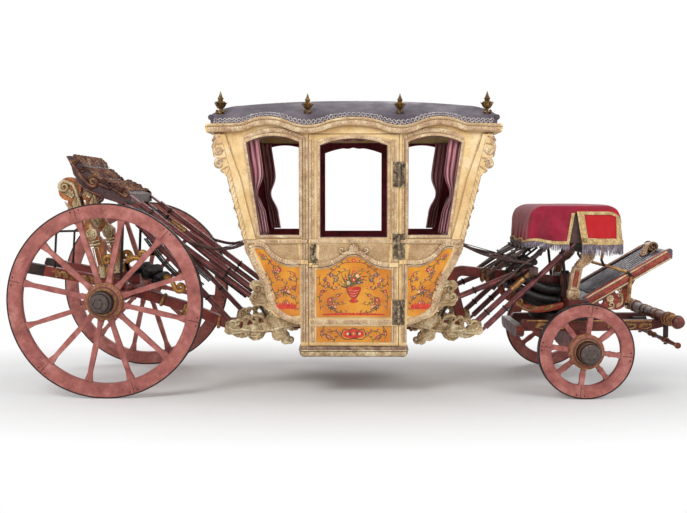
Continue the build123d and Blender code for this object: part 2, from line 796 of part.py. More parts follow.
DOOR_WINDOW = [
    (-284, waist + 25), (-284, cabin_top - 98), (284, cabin_top - 98, 0, cabin_top - 40), (284, waist + 25),
]
DOOR_LINE = [
    # the painted panel's upper line, from the rear to the front
    (-316, belly(0.656)), (-190, belly(0.68), -250, belly(0.66)), (-70, belly(0.783), -128, belly(0.728)),
    (70, belly(0.783), 0, belly(0.809)), (190, belly(0.68), 128, belly(0.728)), (316, belly(0.656), 250, belly(0.66)),
]
DOOR_PANEL = DOOR_LINE + [(316, belly(0.1)), (-316, belly(0.1))]
DOOR_LOWER_PANEL = [
    (-316, cabin_bottom - 12), (316, cabin_bottom - 12), (316, door_bottom + 32), (-316, door_bottom + 32),
]


def lock_plate():
    """Plate of the right door's lock, as the space that it takes."""
    outer = cabin_width / 2
    x = cabin_x - door_half + 34
    return block((x - 26, x + 26), (-outer - 7, -outer), (waist - 195, waist - 43))


def door():
    """Right door: frame with its window, recesses for the painted panels, and mouldings."""
    outer = cabin_width / 2
    leaf = block((cabin_x - door_half, cabin_x + door_half), (-outer, -inner_half()), (door_bottom, door_top))
    window = prism("XZ", at_cabin(DOOR_WINDOW), -outer - 1, -inner_half() + 1)
    leaf -= window
    for panel in (DOOR_PANEL, DOOR_LOWER_PANEL):
        leaf -= prism("XZ", at_cabin(panel), -outer - 1, -outer + 6)
    rail = block((cabin_x - door_half, cabin_x + door_half), (-outer - 12, -outer), (waist - 24, waist + 10))
    foot = block((cabin_x - door_half, cabin_x + door_half), (-outer - 10, -outer), (cabin_bottom, belly(0.083)))
    ends = belly(0.656)
    moulding = shaped_moulding([(-door_half, ends)] + DOOR_LINE + [(door_half, ends)])
    boss = Pos(cabin_x, -outer, belly(0.9)) * (Rot(90, 0, 0) * extrude(Circle(40), amount=moulding_depth + 4))
    trim = (rail + foot + moulding) - hinge_room() - lock_plate()
    return leaf + trim + side_border(DOOR_WINDOW) + boss


def door_panels():
    outer = cabin_width / 2
    return [prism("XZ", at_cabin(panel), -outer - 3, -outer + 6) for panel in (DOOR_PANEL, DOOR_LOWER_PANEL)]


def hinge_axis():
    """The right door's hinge line, (x, y)."""
    return (cabin_x + door_half + door_gap / 2, -cabin_width / 2 - hinge_offset)


def hinge_room():
    """Space in front of the wall that the hinges need, kept free of mouldings."""
    x = hinge_axis()[0]
    face = -cabin_width / 2
    reach = hinge_length / 2 + 3
    return [block((x - 55, x + 55), (face - 60, face), (height - reach, height + reach)) for height in hinge_heights]


def hinge_half(height, on_door):
    """Half of one hinge: a leaf on the door or on the pillar, and its part of the barrel."""
    x, y = hinge_axis()
    side = -1 if on_door else 1
    middle = height
    low, high = (middle + 0.5, middle + hinge_length / 2) if on_door else (middle - hinge_length / 2, middle - 0.5)
    barrel = Pos(x, y, low) * extrude(Circle(hinge_barrel), amount=high - low)
    face = -cabin_width / 2
    reach = sorted((x + side * 16, x + side * 52))
    leaf = block(reach, (face - 5, face), (height - hinge_length / 2, height + hinge_length / 2))
    arm = block(sorted((x, x + side * 17)), (y, face), (low, high))
    arm = arm & block((x - 100, x + 100), (y, face - 1), (low, high))
    solid = barrel + leaf + arm
    bore = Pos(x, y, low - 1) * extrude(Circle(hinge_pin + 0.5), amount=high - low + 2)
    pin = Pos(x, y, height - hinge_length / 2) * extrude(Circle(hinge_pin), amount=hinge_length - 6)
    return solid - bore if on_door else solid + pin


def door_fittings():
    """Hinge leaves, lock plate and handle of the right door."""
    outer = cabin_width / 2
    leaves = [hinge_half(height, True) for height in hinge_heights]
    x = cabin_x - door_half + 34
    rings = [(0, 16), (12, 12), (26, 10), (38, 20), (52, 24), (64, 14)]
    knob = Pos(x, -outer, waist - 145) * (Rot(90, 0, 0) * turned(rings))
    return leaves + [lock_plate() + knob]


def cant_rail():
    """Frame along the top of the walls that carries the roof."""
    high = cabin_top + cant_height
    half = roof_half_length - roof_skin
    ring = block((cabin_x - half, cabin_x + half), (-cabin_width / 2, cabin_width / 2), (cabin_top, high))
    inside = block((cabin_x - half + 62, cabin_x + half - 62), (-inner_half() + 12, inner_half() - 12),
                   (cabin_top - 1, high + 1))
    return ring - inside


def wave(drop):
    """Upper line of the cornice from the rear to the front, lowered by drop."""
    top = cabin_top + cornice_height
    half = [(roof_half_length + cornice_depth, top + 12), (990, top + 16), (870, top + 45, 925, top + 24),
            (555, top + 38, 715, top + 72), (215, top + 40, 385, top), ]
    steps = [(cabin_x - half[0][0], half[0][1] - drop), (cabin_x - half[1][0], half[1][1] - drop)]
    for step in half[2:]:
        steps.append((cabin_x - step[0], step[1] - drop, cabin_x - step[2], step[3] - drop))
    steps.append((cabin_x + half[-1][0], half[-1][1] - drop, cabin_x, top + 68 - drop))
    for here, step in zip(reversed(half[1:-1]), reversed(half[2:])):
        steps.append((cabin_x + here[0], here[1] - drop, cabin_x + step[2], step[3] - drop))
    steps.append((cabin_x + half[0][0], half[0][1] - drop))
    return steps


def wavy_band(low_drop, high_drop, y_low, y_high):
    """Band between two copies of the cornice's line."""
    top = wave(high_drop)
    low = wave(low_drop)
    back = [low[-1][:2]]
    for here, step in zip(reversed(low[:-1]), reversed(low[1:])):
        back.append(here[:2] + step[2:])
    return prism("XZ", top + back, y_low, y_high)


def cornice():
    """Moulding round the top of the cabin, in waves over the windows."""
    inside = cabin_width / 2
    side = wavy_band(cornice_height, 0, -inside - cornice_depth, -inside)
    lip = wavy_band(20, 0, -inside - cornice_depth - 12, -inside - cornice_depth)
    half = roof_half_length - roof_skin
    top = cabin_top + cornice_height
    end = block((cabin_x + half, cabin_x + roof_half_length + cornice_depth), (-inside - 1, inside + 1),
                (top + 12 - cornice_height, top + 12))
    side = side + lip
    return side + other_side(side) + end + other_end(end)


def roof_profiles(inset):
    """The roof's long and cross profiles, drawn in by inset."""
    edge = roof_edge - inset
    length = roof_half_length + 8 - inset
    crown = roof_crown - inset
    shoulder = roof_half_length - 227
    low = cabin_top + cant_height
    along = [(cabin_x - length, low), (cabin_x - length, edge),
             (cabin_x - shoulder, edge + 0.612 * roof_rise, cabin_x - length + 84, edge + 0.376 * roof_rise),
             (cabin_x + shoulder, edge + 0.612 * roof_rise, cabin_x, crown),
             (cabin_x + length, edge, cabin_x + length - 84, edge + 0.376 * roof_rise), (cabin_x + length, low)]
    half = cabin_width / 2 + roof_skin - inset
    across = [(-half, low), (-half, edge), (half, edge, 0, crown + cross_rise), (half, low)]
    return along, across


def roof_dome(inset):
    along, across = roof_profiles(inset)
    return prism("XZ", along, -far, far) & prism("YZ", across, -far, far)


def roof():
    """Leather-covered roof, its skirt nailed along the cornice, with a rolled gutter at each end."""
    low = cabin_top + cant_height
    inside = roof_dome(roof_skin) - block((cabin_x - far, cabin_x + far), (-far, far), (0, low + roof_rim))
    inside += block((cabin_x - 1110, cabin_x + 1110), (-inner_half() + 16, inner_half() - 16),
                    (low - 1, low + roof_rim + 1))
    skirt = prism("XZ", wave(0) + [(cabin_x + roof_half_length + 8, roof_edge - 6),
                                   (cabin_x - roof_half_length - 8, roof_edge - 6)],
                  -cabin_width / 2 - roof_skin, -cabin_width / 2)
    skirt = skirt & block((cabin_x - roof_half_length - 8, cabin_x + roof_half_length + 8), (-far, far), (0, far))
    gutter = Pos(cabin_x + roof_half_length + 4, 0, roof_edge - gutter_radius + 6) * (
        Rot(90, 0, 0) * Cylinder(gutter_radius, cabin_width + 2 * roof_skin))
    solid = roof_dome(0) + skirt + other_side(skirt) + gutter + other_end(gutter) - inside
    return solid - cornice() - cant_rail()


def finial(x, y, scale):
    """Turned urn with a flame, standing on the slope of the roof."""
    half = cabin_width / 2 + roof_skin
    rise = roof_crown + cross_rise - roof_edge
    radius = (half ** 2 + rise ** 2) / (2 * rise)
    height = roof_crown + cross_rise - radius + sqrt(radius ** 2 - y ** 2)
    rings = [(-16, 24), (22, 24), (36, 10), (82, 38), (164, 3)]
    urn = Pos(cabin_x + x, y, height) * turned([(up * scale, wide * scale) for up, wide in rings])
    below = Pos(cabin_x + x, y, height) * (Rot(degrees(asin(-y / radius)), 0, 0) * block((-80, 80), (-80, 80), (-160, 0)))
    return urn - below


def finials():
    y = -cabin_width / 2 + 36
    return both_sides(*[finial(x, y, size) for x, size in ((-1120, 1.1), (-388, 1), (388, 1), (1120, 1.1))])


def corner_scroll():
    """Carving down the front right corner pillar, with a volute under the cornice."""
    outer = cabin_width / 2
    lean = (shoulder_half - waist_half) / (cabin_top - waist)

    def edge(z, out):
        return (waist_half + (z - waist) * lean + out, z)

    top = cabin_top - 6
    steps = [edge(waist + 10, -96), edge(waist + 10, 4), edge(waist + 165, 4), edge(waist + 365, 8),
             edge(top - 346, 8), edge(top - 216, 56) + edge(top - 296, 44), edge(top - 96, 44) + edge(top - 146, 70),
             edge(top, 26) + edge(top - 46, 24), edge(top, -62), edge(top - 126, -70), edge(top - 366, -96),
             edge(waist + 265, -92)]
    return prism("XZ", at_cabin(steps), -outer - 20, -outer)


def bench_edge():
    return cabin_x + waist_half - wall - bench_depth - 185


def bench():
    """Box seat against the front wall."""
    room = drawn_out("XZ", cabin_section(wall), -inner_half(), inner_half())
    floor_top = cabin_bottom + 8 + wall
    return room & block((bench_edge(), cabin_x + far), (-far, far), (floor_top, floor_top + bench_height))


def seat_cushion():
    """Loose cushion on the bench."""
    top = cabin_bottom + 8 + wall + bench_height
    return block((bench_edge() - 8, bench_edge() + bench_depth), (-inner_half() + 12, inner_half() - 12),
                 (top + soft_gap, top + 96))


def back_cushion():
    """Padded back against the front wall, above the cushion."""
    lean = (shoulder_half - waist_half) / (cabin_top - waist)
    foot = waist_half - wall * sqrt(1 + lean * lean) - 2 * soft_gap
    low = waist + 6
    high = waist + 365
    steps = [(foot - 70, low), (foot + (low - waist) * lean, low), (foot + (high - waist) * lean, high),
             (foot + (high - waist) * lean - 70, high)]
    return prism("XZ", at_cabin(steps), -inner_half() + 52, inner_half() - 52)


def curtain():
    """Gathered curtain inside the outer edge of the front right window."""
    top_x, foot_x = QUARTER_WINDOW[2][0], QUARTER_WINDOW[3][0]
    low = waist + 50
    y = -inner_half() + soft_gap
    steps = [(foot_x - 52, low), (foot_x + 30, low), (top_x + 5, cabin_top - soft_gap),
             (top_x - 105, cabin_top - soft_gap), ((foot_x + top_x) / 2 - 88, (low + cabin_top) / 2 - 29)]
    return prism("XZ", at_cabin(steps), y, y + 36)


# Brackets and braces

def cabin_solid():
    return drawn_out("XZ", cabin_section(), -far, far)


def lower_bracket():
    """Carved scroll under the cabin's front right corner, out to the braces' clasp."""
    steps = [(455, 640), (640, 700), (700, 668), (760, 612, 742, 660), (860, 590, 810, 590), (960, 560),
             (1060, 560, 1010, 540), (1128, 580), (1140, 520), (1080, 490, 1120, 496), (940, 510),
             (820, 508, 880, 482), (720, 500, 768, 530), (640, 440, 690, 440), (560, 430, 596, 402),
             (600, 478, 566, 462), (600, 520, 616, 500), (455, 560, 530, 556)]
    body = prism("XZ", at_cabin(steps), -strap_y - bracket_width / 2, -strap_y + bracket_width / 2)
    return body - cabin_solid() - cabin_floor()


def upper_bracket():
    """Carved scroll on the cabin's end, for the upper brace and the strut."""
    steps = [(640, 760), (660, 930), (780, 930), (850, 960, 812, 968), (905, 900, 906, 952), (886, 846, 882, 872),
             (902, 782, 918, 812), (850, 748, 886, 752), (790, 744), (740, 704, 772, 716), (700, 700)]
    body = prism("XZ", at_cabin(steps), -strap_y - bracket_width / 2, -strap_y + bracket_width / 2)
    return body - cabin_solid()


def strut():
    """Iron strut between the two brackets."""
    start = (cabin_x + 836, 770)
    end = (cabin_x + 730, 560)
    bar = flat_bar(start, end, -strap_y, 30, 20)
    return bar - upper_bracket() - lower_bracket() - cabin_solid()


REAR_BRACES = [
    # upper end (x, z), lower end (x, z)
    ((rear_axle_x + 130, 1715), (cabin_x - 878, 884)),
    ((rear_axle_x + 90, 1650), (cabin_x - 880, 808)),
    ((rear_axle_x + 20, 1668), (cabin_x - 1060, 574)),
]
FRONT_BRACES = [
    ((front_axle_x - 14, seat_bottom), (cabin_x + 1128, 520)),
    ((beam_x, beam_z), (cabin_x + 1050, 570)),
    ((beam_x - 20, beam_z + 30), (cabin_x + 880, 806)),
]


def rear_braces():
    parts = []
    for upper, lower in REAR_BRACES:
        brace = flat_bar(upper, lower, -strap_y, strap_width, strap_thickness)
        brace = brace - crest_board() - lower_rear_bracket() - other_end(upper_bracket())
        parts.append(largest(brace))
    return parts


def lower_rear_bracket():
    return other_end(lower_bracket())


def front_braces():
    parts = []
    for upper, lower in FRONT_BRACES:
        brace = flat_bar(upper, lower, -strap_y, strap_width, strap_thickness)
        brace = brace - strap_beam() - seat_frame() - lower_bracket() - upper_bracket()
        parts.append(largest(brace))
    return parts


def largest(shape):
    """The main solid that is left after a piece is cut to its seats."""
    return sorted(shape.solids(), key=lambda solid: solid.volume)[-1]


def check_straps():
    """Thin straps that steady the cabin fore and aft, on the right side."""
    front = flat_bar((cabin_x + waist_half - 10, waist - 40), (beam_x - 20, beam_z + 62), -strap_y - 60, 34, 7)
    rear_up = flat_bar((cabin_x - waist_half + 10, waist - 20), (cabin_x - 1190, 1250), -strap_y - 60, 34, 7)
    rear_on = flat_bar((cabin_x - 1190, 1250), (cabin_x - 1440, 1310), -strap_y - 60, 34, 7)
    front = largest(front - cabin_solid() - strap_beam())
    rear = largest((rear_up + rear_on) - cabin_solid())
    return [front, rear]


def main():
    os.makedirs("parts", exist_ok=True)
    for axle in ("rear", "front"):
        wheel = set_on_axle(axle, wooden_wheel(axle))
        hoop = set_on_axle(axle, tyre(axle))
        write(f"{axle}_wheel_right", wheel)
        write(f"{axle}_wheel_left", other_side(wheel))
        write(f"{axle}_tyre_right", hoop)
        write(f"{axle}_tyre_left", other_side(hoop))
    write("rear_axle", axletree("rear"))
    write("rear_bed", rear_bed())
    write("rear_rails", *both_sides(rear_rail()))
    write("rear_posts", *both_sides(rear_post() - rear_rail()))
    write("crest_board", crest_board())
    write("perch", perch())
    write("front_transom", front_transom())
    write("upper_turntable", upper_plate())
    write("kingpin", kingpin())

    write("front_axle", front_axletree())
    write("front_bed", front_bed())
    write("futchells", futchells())
    write("lower_turntable", lower_plate())
    write("splinter_bar", splinter_bar())
    write("pole_socket", pole_socket())
    write("swing_links", *both_sides(swing_link()))
    write("swingletree_right", swingletree())
    write("swingletree_left", other_side(swingletree()))

    write("front_posts", *both_sides(front_post()))
    write("seat_frame", seat_frame())
    write("hammercloth", hammercloth())
    write("footboard", footboard())
    write("footboard_brackets", *both_sides(footboard_bracket()))
    write("strap_beam", strap_beam())

    write("cabin_floor", cabin_floor())
    write("front_wall", end_wall() - front_window())
    write("rear_wall", other_end(end_wall()))
    side = quarter()
    write("front_quarter_right", side)
    write("front_quarter_left", other_side(side))
    write("rear_quarter_right", other_end(side))
    write("rear_quarter_left", other_side(other_end(side)))
    panel = quarter_panel()
    write("quarter_panels", *both_sides(panel, other_end(panel)))
    write("door_right", door())
    write("door_left", other_side(door()))
    write("door_panels_right", *door_panels())
    write("door_panels_left", *[other_side(shape) for shape in door_panels()])
    write("door_fittings_right", *door_fittings())
    write("door_fittings_left", *[other_side(shape) for shape in door_fittings()])
    knuckles = [hinge_half(height, False) for height in hinge_heights]
    write("hinge_knuckles", *both_sides(*knuckles))
    write("cant_rail", cant_rail())
    write("cornice", cornice())
    write("roof", roof())
    write("finials", *finials())
    scroll = corner_scroll()
    write("corner_scrolls", *both_sides(scroll, other_end(scroll)))
    write("benches", bench(), other_end(bench()))
    write("cushions", seat_cushion(), back_cushion(), other_end(seat_cushion()), other_end(back_cushion()))
    write("curtains", *both_sides(curtain(), other_end(curtain())))

    write("body_brackets", *both_sides(lower_bracket(), lower_rear_bracket(), upper_bracket(),
                                       other_end(upper_bracket())))
    write("iron_stays", *both_sides(rear_stay(), tail_iron(), seat_iron(), footboard_stay(), strut(),
                                    other_end(strut())))
    write("braces", *both_sides(*rear_braces(), *front_braces()))
    write("check_straps", *both_sides(*check_straps()))


main()
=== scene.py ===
import json
import math

import bmesh
import bpy
import numpy as np
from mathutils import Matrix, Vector


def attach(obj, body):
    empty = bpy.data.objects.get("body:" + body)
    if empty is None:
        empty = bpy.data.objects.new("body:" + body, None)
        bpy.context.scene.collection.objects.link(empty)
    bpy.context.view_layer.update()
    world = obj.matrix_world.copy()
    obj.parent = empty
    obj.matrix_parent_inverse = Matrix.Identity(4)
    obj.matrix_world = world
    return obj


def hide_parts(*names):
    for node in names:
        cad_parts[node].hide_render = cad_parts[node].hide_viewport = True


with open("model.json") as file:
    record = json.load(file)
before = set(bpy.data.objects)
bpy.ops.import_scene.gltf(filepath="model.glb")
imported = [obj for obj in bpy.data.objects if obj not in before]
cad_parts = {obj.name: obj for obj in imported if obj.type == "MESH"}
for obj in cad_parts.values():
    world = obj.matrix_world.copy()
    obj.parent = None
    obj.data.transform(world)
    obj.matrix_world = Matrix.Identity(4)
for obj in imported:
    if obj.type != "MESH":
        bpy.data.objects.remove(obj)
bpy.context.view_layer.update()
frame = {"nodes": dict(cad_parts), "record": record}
nodes = frame["nodes"]

# Places that the pieces share with the CAD source, in metres
CABIN_X = 0.065
SIDE_Y = 0.74
WAIST = 1.335
WAIST_HALF = 0.92
SHOULDER_HALF = 1.144
CABIN_TOP = 2.232
LEAN = (SHOULDER_HALF - WAIST_HALF) / (CABIN_TOP - WAIST)
STRAP_Y = 0.42
FRONT_X, FRONT_R = 2.02, 0.405
REAR_X, REAR_R = -2.03, 0.825
TRACK_Y = 0.81
RAIL_Y = 0.28
POST_Y = 0.37
FLOOR_LINE = 0.612

# Headings: out from the right side, and towards the left
OUT, LEFT = (0, -1, 0), (0, 1, 0)


# Materials

def linear(colour):
    """A colour as a picture shows it, 0 to 1, as the shader wants it."""
    return tuple(c / 12.92 if c <= 0.04045 else ((c + 0.055) / 1.055) ** 2.4 for c in colour) + (1.0,)


class Nodes:
    """Short ways to add and join the nodes of one material."""

    def __init__(self, name):
        self.material = bpy.data.materials.new(name)
        self.material.use_nodes = True
        self.tree = self.material.node_tree
        self.tree.nodes.clear()
        self.out = self.add("ShaderNodeOutputMaterial")
        self.shader = self.add("ShaderNodeBsdfPrincipled")
        self.join(self.shader, "BSDF", self.out, "Surface")
        self.where = self.add("ShaderNodeTexCoord")

    def add(self, kind, **values):
        node = self.tree.nodes.new(kind)
        for key, value in values.items():
            if hasattr(node, key) and key not in node.inputs:
                setattr(node, key, value)
            else:
                node.inputs[key].default_value = value
        return node

    def join(self, a, output, b, socket):
        self.tree.links.new(a.outputs[output], b.inputs[socket])

    def at(self, scale=(1, 1, 1)):
        """Object coordinates, stretched."""
        node = self.add("ShaderNodeMapping")
        node.inputs["Scale"].default_value = scale
        self.join(self.where, "Object", node, "Vector")
        return node

    def noise(self, scale, detail=4.0, rough=0.55, stretch=(1, 1, 1), warp=0.0):
        node = self.add("ShaderNodeTexNoise")
        node.inputs["Scale"].default_value = scale
        node.inputs["Detail"].default_value = detail
        node.inputs["Roughness"].default_value = rough
        node.inputs["Distortion"].default_value = warp
        self.join(self.at(stretch), "Vector", node, "Vector")
        return node

    def ramp(self, source, output, stops):
        node = self.add("ShaderNodeValToRGB")
        node.color_ramp.elements.remove(node.color_ramp.elements[1])
        for i, (place, colour) in enumerate(stops):
            element = node.color_ramp.elements[0] if i == 0 else node.color_ramp.elements.new(place)
            element.position = place
            element.color = colour if len(colour) == 4 else linear(colour)
        self.join(source, output, node, "Fac")
        return node

    def mix(self, a, a_out, b, b_out, factor=0.5, f_out=None):
        """a towards b. A tuple stands for a plain colour, a node for its output."""
        node = self.add("ShaderNodeMix", data_type="RGBA")
        for source, output, socket in ((a, a_out, 6), (b, b_out, 7)):
            if isinstance(source, tuple):
                node.inputs[socket].default_value = linear(source) if len(source) == 3 else source
            else:
                self.tree.links.new(source.outputs[output], node.inputs[socket])
        if f_out is None:
            node.inputs[0].default_value = factor
        else:
            self.tree.links.new(factor.outputs[f_out], node.inputs[0])
        return node

    def span(self, source, output, low, high, from_low=0.0, from_high=1.0):
        node = self.add("ShaderNodeMapRange")
        node.inputs["From Min"].default_value = from_low
        node.inputs["From Max"].default_value = from_high
        node.inputs["To Min"].default_value = low
        node.inputs["To Max"].default_value = high
        self.join(source, output, node, "Value")
        return node

    def bump(self, source, output, strength, distance, under=None):
        node = self.add("ShaderNodeBump")
        node.inputs["Strength"].default_value = strength
        node.inputs["Distance"].default_value = distance
        self.join(source, output, node, "Height")
        if under is not None:
            self.join(under, "Normal", node, "Normal")
        return node


def finish(name, tones, rough=(0.45, 0.65), metal=0.0, patch=5.0, stretch=(1, 1, 1), grain=90.0, grain_depth=0.0006,
           shade_and_grime=None, shade_and_grime_reach=0.03, shade_and_grime_amount=0.8, worn=None, worn_amount=0.35, sheen=0.0, coat=0.0,
           pebble=0.0, speckle=0.12, beyond=(), carved=0.0, pit_shade=0.6):
    """Aged surface: tones in patches, painted shade and grime in its hollows from ambient occlusion, wear in spots,
    and a fine grain.

    beyond has rows of (axis, from, to, colour): the colour past a distance along x, or out to either side in y.
    carved is how many small hollows there are to a metre, and pit_shade how dark they are painted, as shade and dirt
    in them.
    """
    n = Nodes(name)
    broad = n.noise(patch, 6, 0.6, stretch, 0.4)
    low, middle, high = tones
    colour = n.ramp(broad, "Fac", [(0.3, low), (0.5, middle), (0.7, high)])
    colour_out = "Color"
    fine = n.noise(grain, 5, 0.65, stretch)
    if speckle:
        tint = n.span(fine, "Fac", 1 - speckle, 1 + speckle, 0.3, 0.7)
        shade = n.add("ShaderNodeVectorMath", operation="SCALE")
        n.tree.links.new(colour.outputs[colour_out], shade.inputs[0])
        n.tree.links.new(tint.outputs[0], shade.inputs["Scale"])
        colour, colour_out = shade, "Vector"
    for axis, start, end, tone in beyond:
        apart = n.add("ShaderNodeSeparateXYZ")
        n.join(n.where, "Object", apart, 0)
        if axis == "Y":
            size = n.add("ShaderNodeMath", operation="ABSOLUTE")
            n.join(apart, "Y", size, 0)
            past = n.span(size, "Value", 0.0, 0.92, start, end)
        else:
            past = n.span(apart, axis, 0.0, 0.92, start, end)
        colour = n.mix(colour, colour_out, tone, None, past, "Result")
        colour_out = 2
    # Painted shade: the small bumped pits are darkened with the shade-and-grime colour, as shade and dirt in them
    if carved:
        hollows = n.add("ShaderNodeTexVoronoi", feature="SMOOTH_F1")
        hollows.inputs["Scale"].default_value = carved
        n.join(n.at(), "Vector", hollows, "Vector")
        colour = n.mix(colour, colour_out, shade_and_grime, None, n.span(hollows, "Distance", 0.0, pit_shade, 0.32, 0.66), "Result")
        colour_out = 2
    if worn is not None:
        spots = n.noise(patch * 3.5, 8, 0.7, stretch, 0.6)
        where = n.span(spots, "Fac", 0, worn_amount, 0.56, 0.7)
        colour = n.mix(colour, colour_out, worn, None, where, "Result")
        colour_out = 2
    # Painted shade: ambient occlusion darkens hollows and places between parts to the shade-and-grime colour, partly
    # dirt and partly shade
    if shade_and_grime is not None:
        occlusion_shade = n.add("ShaderNodeAmbientOcclusion", samples=8)
        occlusion_shade.inputs["Distance"].default_value = shade_and_grime_reach
        where = n.span(occlusion_shade, "AO", shade_and_grime_amount, 0.0, 0.25, 0.9)
        colour = n.mix(colour, colour_out, shade_and_grime, None, where, "Result")
        colour_out = 2
    n.tree.links.new(colour.outputs[colour_out], n.shader.inputs["Base Color"])
    gloss = n.noise(patch * 2.3, 5, 0.6, stretch)
    n.join(n.span(gloss, "Fac", rough[0], rough[1], 0.35, 0.65), "Result", n.shader, "Roughness")
    n.shader.inputs["Metallic"].default_value = metal
    n.shader.inputs["Sheen Weight"].default_value = sheen
    n.shader.inputs["Coat Weight"].default_value = coat
    relief = n.bump(fine, "Fac", 0.6, grain_depth)
    if carved:
        relief = n.bump(hollows, "Distance", -0.7, 0.003, relief)
    if pebble:
        cells = n.add("ShaderNodeTexVoronoi", feature="SMOOTH_F1")
        cells.inputs["Scale"].default_value = pebble
        n.join(n.at(), "Vector", cells, "Vector")
        relief = n.bump(cells, "Distance", 0.5, 0.0008, relief)
    n.join(relief, "Normal", n.shader, "Normal")
    return n.material


